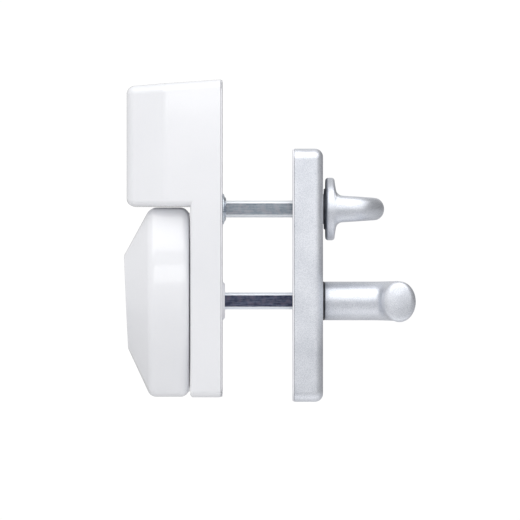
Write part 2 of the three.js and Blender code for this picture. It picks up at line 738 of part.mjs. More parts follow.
// The toothed wheel of the guard: a lock notch and a detent notch for each end of its swing.
function indexDisc() {
  const halfNotch = boltTipWidth / 2 + fitGap;
  const notchFloor = boltTipZ - boltTravel - fitGap * 2 - lowerZ;
  const notchEnd = discRadius + past;
  const across = [discFront - past, discBack + past];
  const dent = Math.SQRT2 * detentDepth;
  const dentTool = new THREE.BoxGeometry(discThickness + 2 * past, 2 * dent, 2 * dent);
  dentTool.rotateX(Math.PI / 4);
  const middle = (discFront + discBack) / 2;
  const bore = rod(hubRadius + fitGap / 2, ...across, 0, lowerZ);
  const flatHalf = hubFlatHalf + fitGap / 2;
  return cut(
    rod(discRadius, discFront, discBack, 0, lowerZ, largeSteps),
    bore.intersect(box(across, [-wide, wide], [lowerZ - flatHalf, lowerZ + flatHalf])),
    box(across, [-halfNotch, halfNotch], [lowerZ + notchFloor, lowerZ + notchEnd]),
    box(across, [notchFloor, notchEnd], [lowerZ - halfNotch, lowerZ + halfNotch]),
    solid(dentTool.clone().translate(middle, 0, lowerZ - discRadius)),
    solid(dentTool.clone().translate(middle, -discRadius, lowerZ)),
  );
}

// An open spring clip in a groove of the given radius, on the far side of x0.
function clip(grooveRadius, x0, z) {
  const outer = grooveRadius + clipReach;
  const x1 = x0 + clipThickness;
  const spread = outer * Math.tan(THREE.MathUtils.degToRad(clipMouth / 2));
  const mouth = outline([[0, z], [-spread, z - outer], [spread, z - outer]]);
  return cut(ring(outer, grooveRadius + runGap, x0, x1, z), prismX(mouth, x0 - past, x1 + past));
}

// A bent leaf of spring steel whose ridge drops into the index disc's dents. It is screwed down by a
// tab that stands back from its blade on a short riser.
function detentLeaf() {
  const { thickness, foot, sides: [left, right] } = leafSpring;
  const ridge = lowerZ - discRadius + detentDepth - leafSpring.crest;
  const low = lowerZ - discRadius - leafSpring.drop;
  const under = low - thickness;
  const bend = foot - thickness / 2;
  const wave = outline([
    [left, low], [-foot, low], [0, ridge], [foot, low], [right, low],
    [right, under], [bend, under], [0, ridge - Math.SQRT2 * thickness], [-bend, under], [left, under],
  ]);
  const tabFront = detentPadTop + seatGap;
  const tabRight = leafTab.sides[1];
  const middle = low - thickness / 2;
  const blade = prismX(wave, discFront, discBack);
  const tab = box([tabFront, tabFront + thickness], leafTab.sides, [detentZ - leafTab.height, middle]);
  const riserHeights = [detentZ + leafTab.height / 2, middle];
  const riser = box([tabFront, discBack], [tabRight - thickness, tabRight], riserHeights);
  const hole = rod(detentScrew.shank + runGap, discFront, discBack, detentScrewPlace, detentZ, screwSteps);
  return cut(joined(blade, tab, riser), hole);
}

function lockingBolt() {
  const half = boltWidth / 2;
  const tip = boltTipWidth / 2;
  const top = cylinderHeight + crankOffset + boltHead;
  const plate = outline([
    [-tip, boltTipZ, boltTipRadius], [tip, boltTipZ, boltTipRadius], [tip, boltShoulder],
    [half, boltShoulder, boltShoulderRadius], [half, top, boltHeadRadius], [-half, top, boltHeadRadius],
    [-half, boltShoulder, boltShoulderRadius], [-tip, boltShoulder],
  ]);
  const slots = [upperZ, cylinderHeight].map((z) => {
    const shape = slotShape(-crankRadius, -crankOffset, z + crankOffset, crankPinRadius + slotGap);
    return prismX(shape, boltFront - past, boltBack + past);
  });
  return cut(prismX(plate, boltFront, boltBack), ...slots);
}

function boltKeeper() {
  const low = keeperZ - keeperHeight / 2;
  const strip = rectangle(guideInner + keeperReach, low, low + keeperHeight, keeperCorner);
  const front = boltBack + 2 * seatGap;
  const back = front + keeperThickness;
  const holes = keeperScrewPlaces.map(([y, z]) => {
    return rod(keeperScrew.shank + fitGap, front - past, back + past, y, z, screwSteps);
  });
  return cut(prismX(strip, front, back), ...holes);
}

function upperRotor() {
  const body = turned([
    [rotorFront, 0],
    [rotorFront, rotorRadius + rotorFlangeReach],
    [rotorFlangeBack, rotorRadius + rotorFlangeReach],
    [rotorFlangeBack, rotorRadius],
    [0, rotorRadius],
    [0, 0],
  ], 0, upperZ);
  const pinZ = upperZ + crankOffset;
  const pin = rod(crankPinRadius, boltFront, rotorFront + past, -crankOffset, pinZ, postSteps);
  return cut(joined(body, pin), prismX(barShape(fitGap / 2, upperZ), upperBarStart, past));
}

function rotorBush() {
  const lipFront = lipEnd - bushLip;
  const form = joined(
    rod(rotorBushRadius, lipFront, coverBack, 0, upperZ),
    rod(rotorBushRadius + bushLipReach, lipFront, lipEnd, 0, upperZ),
  );
  return cut(form, rod(rotorRadius + runGap, lipFront - past, past, 0, upperZ));
}

// The plated spring washer pushed along the upper bar against its rotor.
function barRetainer() {
  const low = seatGap;
  const form = turned([
    [low, 0],
    [low, retainerRadius],
    [low + retainerRim, retainerRadius],
    [retainerSlope.rise, retainerRadius - retainerSlope.reach],
    [retainerProud, retainerRadius - retainerSlope.crown],
    [retainerProud, 0],
  ], 0, upperZ);
  return cut(form, prismX(barShape(runGap, upperZ), low - past, retainerProud + past));
}

function cylinderShell() {
  const body = turned([
    [cylinderFront, 0],
    [cylinderFront, cylinderFaceRadius],
    [towerInside + seatGap, cylinderFaceRadius],
    [towerInside + seatGap, cylinderRadius],
    [cylinderGrooveFront, cylinderRadius],
    [cylinderGrooveFront, cylinderRadius - clipGroove],
    [cylinderGrooveBack, cylinderRadius - clipGroove],
    [cylinderGrooveBack, cylinderRadius],
    [cylinderBack, cylinderRadius],
    [cylinderBack, 0],
  ], 0, cylinderHeight);
  return cut(body, rod(plugRadius + runGap, cylinderFront - past, cylinderBack + past, 0, cylinderHeight));
}

// The keyway's outline: a slot with a ward let into each side.
function keywayShape() {
  const low = cylinderHeight - keywayHeight / 2;
  const half = keywayWidth / 2;
  const [rightLow, rightHigh] = wardWindows.right;
  const [leftLow, leftHigh] = wardWindows.left;
  return outline([
    [-half, low],
    [half, low],
    [half, low + rightLow],
    [half + wardStep, low + rightLow + wardSlope],
    [half + wardStep, low + rightHigh - wardSlope],
    [half, low + rightHigh],
    [half, low + keywayHeight],
    [-half, low + keywayHeight],
    [-half, low + leftHigh],
    [-half + wardStep, low + leftHigh - wardSlope],
    [-half + wardStep, low + leftLow + wardSlope],
    [-half, low + leftLow],
  ]);
}

function cylinderPlug() {
  const front = cylinderFront + plugRecess;
  return cut(
    rod(plugRadius, front, plugBack, 0, cylinderHeight),
    prismX(keywayShape(), front - past, front + keywayDepth),
    screwHole(camScrew, camBack, -1, 0, cylinderHeight, runGap),
  );
}

function plugCam() {
  const pinZ = cylinderHeight + crankOffset;
  const form = joined(
    rod(camRadius, camFront, camBack, 0, cylinderHeight),
    rod(crankPinRadius, camBack - past, boltBack, -crankOffset, pinZ, postSteps),
  );
  return cut(form, screwHole(camScrew, camBack, -1, 0, cylinderHeight));
}

function innerPlate() {
  const half = innerWidth / 2;
  const face = rectangle(half, innerBottom, innerTop, innerCorner);
  const bevel = {
    bevelEnabled: true,
    bevelSize: innerEdge,
    bevelThickness: innerEdge,
    bevelOffset: -innerEdge,
    bevelSegments: cornerSteps,
  };
  const block = prismX(face, innerBack, innerFace - innerEdge, bevel);
  const rough = box([innerBack - innerEdge - past, innerBack], [-half, half], [innerBottom, innerTop]);
  const trimmed = cut(block, rough);
  const inside = [half - innerWall, innerBottom + innerWall, innerTop - innerWall];
  const hollow = prismX(rectangle(...inside, innerCorner - innerWall / 2), innerBack - past, innerInside);
  const postStart = baseFront + seatGap;
  const postEnd = innerInside + past;
  const countersinkStart = innerFace - fixingHead + fixingHole;
  return cut(
    joined(
      cut(trimmed, hollow),
      ...fixingPlaces.map(([y, z]) => rod(fixingPost, postStart, postEnd, y, z, postSteps)),
      ...baseScrewHeights.map((z) => rod(basePost, postStart, postEnd, 0, z, postSteps)),
    ),
    rod(thumbBushRadius + fitGap, innerInside - past, innerFace + past, 0, upperZ),
    rod(leverBushRadius + fitGap, innerInside - past, innerFace + past, 0, lowerZ),
    fixingHoles(innerBack, innerFace),
    ...fixingPlaces.map(([y, z]) => turned([
      [countersinkStart, 0],
      [countersinkStart, fixingHole],
      [innerFace, fixingHead],
      [innerFace + past, fixingHead],
      [innerFace + past, 0],
    ], y, z, postSteps)),
    ...baseScrewHeights.map((z) => screwHole(baseScrew, baseFront - past, 1, 0, z, runGap)),
  );
}

// Holes that clear the two spindles and their clips, in a piece from x0 to x1.
function spindleHoles(x0, x1) {
  return [
    rod(thumbSpindleRadius + clipReach, x0 - past, x1 + past, 0, upperZ),
    rod(leverSpindleRadius + clipReach, x0 - past, x1 + past, 0, lowerZ),
  ];
}

function innerBase() {
  const inset = innerWall + fitGap;
  const corner = innerCorner - innerWall / 2;
  const sheet = rectangle(innerWidth / 2 - inset, innerBottom + inset, innerTop - inset, corner);
  return cut(
    prismX(sheet, baseBack, baseFront),
    ...spindleHoles(baseBack, baseFront),
    fixingHoles(baseBack, baseFront),
    ...baseScrewHeights.map((z) => {
      return rod(baseScrew.shank + fitGap, baseBack - past, baseFront + past, 0, z, screwSteps);
    }),
  );
}

function innerGasket() {
  const pad = rectangle(innerWidth / 2 - fitGap, innerBottom + fitGap, innerTop - fitGap, innerCorner);
  const back = innerSeat;
  const front = back + innerGasketThickness;
  return cut(
    prismX(pad, back, front),
    ...spindleHoles(back, front),
    fixingHoles(back, front),
    ...baseScrewHeights.map((z) => rod(baseScrew.head + padGap, back - past, front + past, 0, z, postSteps)),
  );
}

// A flanged bush of the inner unit, held by its lip behind the face.
function innerBush(bore, outer, end, z) {
  const lip = [lipBack, lipBack + bushLip];
  const form = joined(rod(outer, lipBack, end, 0, z), rod(outer + bushLipReach, ...lip, 0, z));
  return cut(form, rod(bore, lipBack - past, end + past, 0, z));
}

function leverBush() {
  return innerBush(leverSpindleRadius + runGap, leverBushRadius, leverBushEnd, lowerZ);
}

function thumbBush() {
  return innerBush(thumbSpindleRadius + runGap, thumbBushRadius, thumbBushEnd, upperZ);
}

// A spindle from behind the clip to the given end, with the clip's groove and the bar's hole.
function spindle(radius, end, holeEnd, z) {
  const groove = radius - clipGroove;
  const body = turned([
    [spindleBack, 0],
    [spindleBack, radius],
    [clipBack - seatGap, radius],
    [clipBack - seatGap, groove],
    [clipFront + seatGap / 2, groove],
    [clipFront + seatGap / 2, radius],
    [end, radius],
    [end, 0],
  ], 0, z);
  return { body, hole: prismX(barShape(fitGap / 2, z), spindleBack - past, holeEnd) };
}

// The thumb-turn's blade: its side view, rounded at the tip and filleted into the disc, crossed with a
// half-round plan that has rounded edges.
function thumbBlade() {
  const root = thumbRoot / 2;
  const tip = thumbTip / 2;
  const height = root + thumbFillet;
  const radius = thumbDiscRadius;
  const start = thumbDiscFront - past;
  const flare = thumbDiscFront + thumbFillet / 2;
  const side = outline([
    [upperZ - height, start],
    [upperZ - height, thumbDiscFront],
    [upperZ - root, flare, thumbFillet],
    [upperZ - tip, thumbEnd, tip * thumbTipRound],
    [upperZ + tip, thumbEnd, tip * thumbTipRound],
    [upperZ + root, flare, thumbFillet],
    [upperZ + height, thumbDiscFront],
    [upperZ + height, start],
  ]);
  const plan = new THREE.Shape();
  plan.moveTo(start, -radius);
  plan.lineTo(thumbEnd - radius, -radius);
  plan.absarc(thumbEnd - radius, 0, radius, -Math.PI / 2, Math.PI / 2, false);
  plan.lineTo(start, radius);
  const rounded = {
    bevelEnabled: true,
    bevelSize: thumbEdge,
    bevelThickness: thumbEdge,
    bevelOffset: -thumbEdge,
    bevelSegments: cornerSteps,
    curveSegments: bladeSteps,
  };
  const slab = prismZ(plan, upperZ - height + thumbEdge, upperZ + height - thumbEdge, rounded);
  const disc = rod(radius, start - past, thumbEnd, 0, upperZ, largeSteps);
  return prismY(side, -radius, radius, { curveSegments: tipSteps }).intersect(slab).intersect(disc);
}

function thumbTurn() {
  const { body, hole } = spindle(thumbSpindleRadius, thumbDiscBack + past, thumbHoleEnd, upperZ);
  const rim = thumbDiscRim;
  const disc = turned([
    [thumbDiscBack - thumbStep, 0],
    [thumbDiscBack - thumbStep, thumbStepRadius],
    [thumbDiscBack, thumbStepRadius],
    [thumbDiscBack, thumbDiscRadius - rim / 2],
    [thumbDiscBack + rim / 2, thumbDiscRadius],
    [thumbDiscFront - rim, thumbDiscRadius],
    [thumbDiscFront - rim / 3, thumbDiscRadius - rim / 3],
    [thumbDiscFront, thumbDiscRadius - rim],
    [thumbDiscFront, 0],
  ], 0, upperZ, largeSteps);
  return cut(joined(body, disc, thumbBlade()), hole);
}

// The lever's grip: an oval bar along Y with a rounded free end and a domed heel behind the neck.
function grip() {
  const halfHeight = leverGripHeight / 2;
  const round = leverEndRadius;
  const rimStart = leverEndCrown - leverLength;
  const heel = leverNeckRadius + leverHeelProud - leverHeelDome;
  const profile = [[-leverLength, 0], [rimStart, halfHeight - round]];
  for (let i = 1; i <= tipSteps; i += 1) {
    const angle = (i / tipSteps) * (Math.PI / 2);
    profile.push([rimStart + round * (1 - Math.cos(angle)), halfHeight - round * (1 - Math.sin(angle))]);
  }
  for (let i = 0; i <= domeSteps; i += 1) {
    const angle = (i / domeSteps) * (Math.PI / 2);
    profile.push([heel + leverHeelDome * Math.sin(angle), halfHeight * Math.cos(angle)]);
  }
  const points = profile.map(([y, r]) => new THREE.Vector2(Math.max(r, 0), y));
  const geometry = new THREE.LatheGeometry(points, largeSteps);
  geometry.scale(leverGripWidth / leverGripHeight, 1, 1);
  geometry.translate(leverAxisX, 0, lowerZ);
  return solid(geometry);
}

// An upright round bar through the lever's neck, from z0 to z1.
function grubRod(radius, z0, z1, steps) {
  const geometry = new THREE.CylinderGeometry(radius, radius, z1 - z0, steps);
  geometry.rotateX(Math.PI / 2);
  geometry.translate(leverGrubX, 0, (z0 + z1) / 2);
  return solid(geometry);
}

function lever() {
  const holeEnd = lowerBarEnd + leverBarStop;
  const { body, hole } = spindle(leverSpindleRadius, leverShoulder + past, holeEnd, lowerZ);
  const neckEnd = leverAxisX - leverGripWidth / 5;
  const neck = rod(leverNeckRadius, leverShoulder, neckEnd, 0, lowerZ, largeSteps);
  const grubHole = grubRod(leverGrub.shank + runGap, lowerZ - leverNeckRadius - past, lowerZ, grubSteps);
  return cut(joined(body, neck, grip()), hole, grubHole);
}

function leverGrubScrew() {
  const top = lowerZ - barSize / 2 - fitGap;
  const bottom = lowerZ - leverNeckRadius + leverGrub.recess;
  const socket = grubRod(leverGrub.socket, bottom - past, bottom + leverGrub.socketDepth, domeSteps);
  return cut(grubRod(leverGrub.shank, bottom, top, grubSteps), socket);
}

function washer() {
  const start = innerFace + seatGap;
  return ring(leverNeckRadius, leverSpindleRadius + fitGap, start, start + leverWasher, lowerZ);
}

// A drive bar, which stops short of the ends of the holes it sits in.
function bar(x0, x1, z) {
  return prismX(barShape(0, z), x0, x1);
}

function cylinderClip() {
  return clip(cylinderRadius - clipGroove, cylinderGrooveFront + seatGap, cylinderHeight);
}

// Height of the detent screw's head, which clamps the leaf's tab on its pad.
function detentHead() {
  return detentPadTop + 2 * seatGap + leafSpring.thickness + detentScrew.rise;
}

const lock = new THREE.Group();
lock.add(
  piece('outer_body', outerBody(), 'whitePaint'),
  piece('back_cover', backCover(), 'plated'),
  piece('back_gasket', backGasket(), 'rubber'),
  piece('swing_guard', swingGuard(), 'whitePaint'),
  piece('guard_hub', guardHub(), 'steel'),
  piece('guard_bush', guardBush(), 'acetal'),
  piece('rear_bush', rearBush(), 'acetal'),
  piece('index_disc', indexDisc(), 'steel'),
  piece('hub_clip', clip(hubFlatHalf - clipGroove, discBack + 2 * seatGap, lowerZ), 'steel'),
  piece('detent_leaf', detentLeaf(), 'steel'),
  piece('locking_bolt', lockingBolt(), 'steel'),
  piece('bolt_keeper', boltKeeper(), 'plated'),
  piece('upper_rotor', upperRotor(), 'steel'),
  piece('rotor_bush', rotorBush(), 'acetal'),
  piece('bar_retainer', barRetainer(), 'plated'),
  piece('cylinder_shell', cylinderShell(), 'plated'),
  piece('cylinder_plug', cylinderPlug(), 'brass'),
  piece('plug_cam', plugCam(), 'steel'),
  piece('inner_plate', innerPlate(), 'silverPaint'),
  piece('inner_base', innerBase(), 'plated'),
  piece('inner_gasket', innerGasket(), 'rubber'),
  piece('lever', lever(), 'silverPaint'),
  piece('lever_washer', washer(), 'blackPlastic'),
  piece('lever_grub_screw', leverGrubScrew(), 'steel'),
  piece('thumb_turn', thumbTurn(), 'silverPaint'),
  piece('upper_bar', bar(upperBarStart + fitGap, thumbHoleEnd - fitGap, upperZ), 'steel'),
  piece('lower_bar', bar(lowerBarStart + fitGap, lowerBarEnd, lowerZ), 'darkSteel'),
  piece('lever_bush', leverBush(), 'acetal'),
  piece('thumb_bush', thumbBush(), 'acetal'),
  piece('lever_clip', clip(leverSpindleRadius - clipGroove, clipBack, lowerZ), 'steel'),
  piece('thumb_clip', clip(thumbSpindleRadius - clipGroove, clipBack, upperZ), 'steel'),
  piece('cylinder_clip', cylinderClip(), 'steel'),
  piece('cam_screw', screw(camScrew, camBack - runGap, -1, 0, cylinderHeight), 'plated'),
  piece('detent_screw', screw(detentScrew, detentHead(), -1, detentScrewPlace, detentZ), 'plated'),
);

coverScrewPlaces.forEach(([y, z], i) => {
  lock.add(piece(`cover_screw_${i + 1}`, screw(coverScrew, coverBack, -1, y, z), 'plated'));
});
hubScrewPlaces.forEach(([y, z], i) => {
  lock.add(piece(`guard_screw_${i + 1}`, screw(guardScrew, hubFlangeBack, -1, y, z), 'plated'));
});
keeperScrewPlaces.forEach(([y, z], i) => {
  const head = boltBack + 3 * seatGap + keeperThickness + keeperScrew.rise;
  lock.add(piece(`keeper_screw_${i + 1}`, screw(keeperScrew, head, -1, y, z), 'plated'));
});
baseScrewHeights.forEach((z, i) => {
  const head = baseBack - seatGap - baseScrew.rise;
  lock.add(piece(`base_screw_${i + 1}`, screw(baseScrew, head, 1, 0, z), 'plated'));
});

export default lock;
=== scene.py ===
import json
import math

import bmesh
import bpy
from mathutils import Matrix, Vector


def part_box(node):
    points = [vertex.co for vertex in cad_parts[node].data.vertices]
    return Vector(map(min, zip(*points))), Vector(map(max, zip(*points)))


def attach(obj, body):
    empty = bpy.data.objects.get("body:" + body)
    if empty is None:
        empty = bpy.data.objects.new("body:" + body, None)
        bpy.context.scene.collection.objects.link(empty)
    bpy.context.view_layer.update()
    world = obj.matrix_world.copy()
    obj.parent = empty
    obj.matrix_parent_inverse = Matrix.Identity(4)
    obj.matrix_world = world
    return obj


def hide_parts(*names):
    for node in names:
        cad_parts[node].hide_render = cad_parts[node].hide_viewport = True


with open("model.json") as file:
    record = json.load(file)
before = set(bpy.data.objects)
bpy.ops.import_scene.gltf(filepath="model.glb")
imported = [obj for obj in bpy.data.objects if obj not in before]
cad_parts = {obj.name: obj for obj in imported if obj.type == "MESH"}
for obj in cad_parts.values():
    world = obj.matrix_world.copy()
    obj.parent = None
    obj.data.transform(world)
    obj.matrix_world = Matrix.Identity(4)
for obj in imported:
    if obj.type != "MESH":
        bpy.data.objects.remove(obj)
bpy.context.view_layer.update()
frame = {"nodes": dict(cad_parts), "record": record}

mm = 0.001
samePoint = 1e-7  # metres; vertices closer than this are merged
samePlace = 1e-6  # metres; closer than this counts as the same height or depth
lowerZ = sum(c.z for c in map(Vector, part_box("lower_bar"))) / 2  # axis of the guard and the lever
upperZ = sum(c.z for c in map(Vector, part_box("upper_bar"))) / 2  # axis of the thumb-turn
keyZ = sum(c.z for c in map(Vector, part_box("cylinder_shell"))) / 2


def boxOf(node):
    low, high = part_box(node)
    return Vector(low), Vector(high)


# Mesh helpers: every piece is made in place, so its object stays at the origin.

def toObject(name, bm):
    bmesh.ops.remove_doubles(bm, verts=bm.verts, dist=samePoint)
    bmesh.ops.recalc_face_normals(bm, faces=bm.faces)
    mesh = bpy.data.meshes.new(name)
    bm.to_mesh(mesh)
    bm.free()
    obj = bpy.data.objects.new(name, mesh)
    bpy.context.scene.collection.objects.link(obj)
    return obj


def applyModifiers(obj):
    depsgraph = bpy.context.evaluated_depsgraph_get()
    mesh = bpy.data.meshes.new_from_object(obj.evaluated_get(depsgraph))
    old = obj.data
    obj.modifiers.clear()
    obj.data = mesh
    bpy.data.meshes.remove(old)


def carve(obj, cutters, operation="DIFFERENCE"):
    for cutter in cutters:
        boolean = obj.modifiers.new("carve", "BOOLEAN")
        boolean.operation = operation
        boolean.solver = "EXACT"
        boolean.object = cutter
    applyModifiers(obj)
    for cutter in cutters:
        bpy.data.meshes.remove(cutter.data)


def smoothShade(obj, sharpAngle):
    obj.data.shade_smooth()
    obj.data.set_sharp_from_angle(angle=math.radians(sharpAngle))
    weighted = obj.modifiers.new("faceWeight", "WEIGHTED_NORMAL")
    weighted.keep_sharp = True


def finishPiece(obj, body, material, replaces=(), sharpAngle=30):
    # shading, material, and what the piece rides on and stands for
    smoothShade(obj, sharpAngle)
    obj.data.materials.clear()
    obj.data.materials.append(material)
    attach(obj, body)
    if replaces:
        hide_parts(*replaces)
    return obj


def spun(profile, z, steps):
    # a profile of (x, radius) turned once round the X axis at height z
    bm = bmesh.new()
    verts = [bm.verts.new((x, 0, r)) for x, r in profile]
    for pair in zip(verts, verts[1:]):
        bm.edges.new(pair)
    if profile[0] == profile[-1]:
        bmesh.ops.remove_doubles(bm, verts=bm.verts, dist=samePoint)
    bmesh.ops.spin(
        bm, geom=list(bm.verts) + list(bm.edges), cent=(0, 0, 0), axis=(1, 0, 0),
        angle=2 * math.pi, steps=steps, use_merge=True,
    )
    bmesh.ops.remove_doubles(bm, verts=bm.verts, dist=samePlace)
    bmesh.ops.recalc_face_normals(bm, faces=bm.faces)
    bmesh.ops.translate(bm, verts=bm.verts, vec=(0, 0, z))
    return bm


def ringOf(bm, sides, place):
    # one closed ring of a loft, laid by the place function of an angle
    made = bmesh.ops.create_circle(bm, segments=sides, radius=1)["verts"]
    for vert in made:
        vert.co = place(math.atan2(vert.co.y, vert.co.x))
    return made


def loft(bm, rings):
    loops = []
    for ring in rings:
        picked = set(ring)
        loops.append([e for v in ring for e in v.link_edges if e.other_vert(v) in picked])
    for first, second in zip(loops, loops[1:]):
        bmesh.ops.bridge_loops(bm, edges=list(dict.fromkeys(first + second)))
    for ring in (rings[0], rings[-1]):
        bmesh.ops.contextual_create(bm, geom=ring)


def rodObject(radius, x0, x1, y, z, steps, endRadius=None):
    # a drill along X, a countersink when its end radius differs
    bm = bmesh.new()
    bmesh.ops.create_cone(
        bm, cap_ends=True, segments=steps, radius1=radius, radius2=endRadius or radius, depth=x1 - x0,
    )
    bmesh.ops.rotate(bm, verts=bm.verts, matrix=Matrix.Rotation(math.pi / 2, 3, "Y"))
    bmesh.ops.translate(bm, verts=bm.verts, vec=((x0 + x1) / 2, y, z))
    return toObject("rodTool", bm)


def block(low, high):
    bm = bmesh.new()
    bmesh.ops.create_cube(bm, size=1)
    bmesh.ops.scale(bm, verts=bm.verts, vec=high - low)
    bmesh.ops.translate(bm, verts=bm.verts, vec=(low + high) / 2)
    return bm


def alongX(bm):
    # the edges that run the length of a block
    return [e for e in bm.edges if abs(e.verts[0].co.x - e.verts[1].co.x) > samePlace]


def bevelEdges(bm, edges, offset, segments):
    bmesh.ops.bevel(
        bm, geom=edges, offset=offset, offset_type="OFFSET", segments=segments, profile=0.5,
        affect="EDGES", material=-1, clamp_overlap=True,
    )


# Materials

socketNames = {"colour": "Base Color", "coat": "Coat Weight", "coatRough": "Coat Roughness"}


class Wire:
    # one output of a node, with arithmetic
    def __init__(self, paint, socket):
        self.paint = paint
        self.socket = socket

    def maths(self, operation, first, second):
        return self.paint.node("ShaderNodeMath", {"operation": operation}, {0: first, 1: second})

    def __add__(self, other):
        return self.maths("ADD", self, other)

    def __radd__(self, other):
        return self.maths("ADD", other, self)

    def __sub__(self, other):
        return self.maths("SUBTRACT", self, other)

    def __rsub__(self, other):
        return self.maths("SUBTRACT", other, self)

    def __mul__(self, other):
        return self.maths("MULTIPLY", self, other)

    def __rmul__(self, other):
        return self.maths("MULTIPLY", other, self)

    def size(self):
        return self.maths("ABSOLUTE", self, 0)


class Paint:
    # a node material on object coordinates, or the world's nodes on the direction looked in
    def __init__(self, name, tree=None):
        if tree:
            self.tree = tree
            self.place = self.node("ShaderNodeTexCoord", {}, {}, "Generated")
            return
        self.material = bpy.data.materials.new(name)
        self.material.use_nodes = True
        self.tree = self.material.node_tree
        self.shader = self.tree.nodes["Principled BSDF"]
        self.place = self.node("ShaderNodeTexCoord", {}, {}, "Object")

    def node(self, kind, settings, values, output=0):
        made = self.tree.nodes.new(kind)
        for key, value in settings.items():
            setattr(made, key, value)
        for key, value in values.items():
            self.connect(made.inputs[key], value)
        return Wire(self, made.outputs[output])

    def connect(self, target, value):
        if isinstance(value, Wire):
            self.tree.links.new(value.socket, target)
        else:
            target.default_value = value

    def noise(self, scale, detail=2, roughness=0.5, place=None):
        values = {"Vector": place or self.place, "Scale": scale, "Detail": detail, "Roughness": roughness}
        return self.node("ShaderNodeTexNoise", {}, values, "Fac")

    def stretched(self, scale, at=(0, 0, 0)):
        values = {"Vector": self.place, "Scale": scale, "Location": at}
        return self.node("ShaderNodeMapping", {}, values)

    def part(self, axis):
        return self.node("ShaderNodeSeparateXYZ", {}, {0: self.place}, axis)

    def span(self, value, low, high, toLow=0.0, toHigh=1.0):
        values = {"Value": value, "From Min": low, "From Max": high, "To Min": toLow, "To Max": toHigh}
        return self.node("ShaderNodeMapRange", {"clamp": True}, values)

    def blend(self, amount, first, second):
        # inputs 0, 6 and 7 and output 2 are the colour ones of a Mix node
        return self.node("ShaderNodeMix", {"data_type": "RGBA"}, {0: amount, 6: first, 7: second}, 2)

    def bump(self, height, strength, distance):
        values = {"Height": height, "Strength": strength, "Distance": distance}
        return self.node("ShaderNodeBump", {}, values)

    def finish(self, **sockets):
        for key, value in sockets.items():
            name = socketNames.get(key, key.capitalize())
            self.connect(self.shader.inputs[name], value)
        return self.material


enamel = {
    "colour": (0.885, 0.89, 0.92, 1),
    "shade": (0.845, 0.855, 0.885, 1),
    "roughness": (0.17, 0.26),
    "coat": 0.9,
    "coatRoughness": 0.07,
    "cloudSize": 22,
    "fleckSize": 5200,
    "peelSize": 900,
    "peelDepth": 0.04 * mm,
    "peelStrength": 0.25,
}


def whiteEnamel():
    look = enamel
    paint = Paint("whiteEnamel")
    broad = paint.noise(look["cloudSize"], 2)
    fleck = paint.noise(look["fleckSize"], 1)
    peel = paint.noise(look["peelSize"], 3, 0.55)
    mixed = paint.span(broad * 0.7 + fleck * 0.3, 0.38, 0.62)
    return paint.finish(
        colour=paint.blend(mixed, look["colour"], look["shade"]),
        roughness=paint.span(peel * 0.6 + broad * 0.4, 0.35, 0.65, *look["roughness"]),
        normal=paint.bump(peel, look["peelStrength"], look["peelDepth"]),
        coat=look["coat"],
        coatRough=look["coatRoughness"],
    )


lacquer = {
    "colour": (0.90, 0.92, 0.97, 1),
    "grain": (0.58, 0.61, 0.67, 1),
    "metallic": 0.66,
    "roughness": (0.34, 0.46),
    "grainSize": 3600,
    "grainDepth": 0.03 * mm,
    "grainStrength": 0.2,
    "cloudSize": 60,
    "paintedShade": (0.22, 0.24, 0.28, 1),  # painted shade, darker in the corners and creases where less light reaches
    "paintedShadeReach": 6 * mm,
    "paintedShadeSamples": 12,
}


def silverLacquer():
    look = lacquer
    paint = Paint("silverLacquer")
    grain = paint.noise(look["grainSize"], 2, 0.6)
    broad = paint.noise(look["cloudSize"], 3)
    mixed = paint.span(grain * 0.75 + broad * 0.25, 0.38, 0.6)
    colour = paint.blend(mixed, look["grain"], look["colour"])
    # ambient occlusion as a mask, so the colour is painted darker in corners and creases: painted shade
    unoccluded = paint.node(
        "ShaderNodeAmbientOcclusion",
        {"samples": look["paintedShadeSamples"]},
        {"Distance": look["paintedShadeReach"]},
        "AO",
    )
    return paint.finish(
        colour=paint.blend(paint.span(unoccluded, 0.25, 0.8), look["paintedShade"], colour),
        metallic=look["metallic"],
        roughness=paint.span(grain * 0.5 + broad * 0.5, 0.35, 0.65, *look["roughness"]),
        normal=paint.bump(grain, look["grainStrength"], look["grainDepth"]),
    )


drawnSteel = {
    "streakSize": (140, 2400, 2400),  # along and across the bar
    "streakDepth": 0.02 * mm,
    "streakStrength": 0.25,
    "cloudSize": 420,
    "metallic": 0.9,
    "roughness": (0.28, 0.46),
    "wearAndHighlightFrom": 6.7 * mm,  # how far out on the chamfers the bright colour starts, |y| + |z| from the axis; rubbed wear and a painted highlight
    "wearAndHighlightTo": 6.95 * mm,
    "wearAndHighlightRagged": 0.2 * mm,  # how much the stains move that edge
}


def drawnBar(name, centreZ, light, dark, stain, wearAndHighlight):
    # drawn steel: short streaks along X, cloudy oxide stains, and the chamfers painted bright, both rubbed
    # wear and a painted highlight
    look = drawnSteel
    paint = Paint(name)
    streak = paint.noise(1, 3, 0.6, paint.stretched(look["streakSize"]))
    cloud = paint.noise(look["cloudSize"], 4, 0.7)
    mixed = streak * 0.6 + cloud * 0.4
    colour = paint.blend(paint.span(mixed, 0.38, 0.62), dark, light)
    colour = paint.blend(paint.span(cloud, 0.45, 0.7, 0, 0.5), colour, stain)
    y, z = paint.part("Y"), paint.part("Z") - centreZ
    # the four chamfers are painted bright: partly rubbed wear, partly a painted highlight
    corner = y.size() + z.size() + cloud * look["wearAndHighlightRagged"]
    return paint.finish(
        colour=paint.blend(paint.span(corner, look["wearAndHighlightFrom"], look["wearAndHighlightTo"]), colour, wearAndHighlight),
        metallic=look["metallic"],
        roughness=paint.span(mixed, 0.35, 0.65, *look["roughness"]),
        normal=paint.bump(streak, look["streakStrength"], look["streakDepth"]),
    )


plated = {
    "cloudSize": 260,
    "speckSize": 3000,
    "speckDepth": 0.02 * mm,
    "speckStrength": 0.15,
    "metallic": 0.95,
    "roughness": (0.2, 0.36),
}


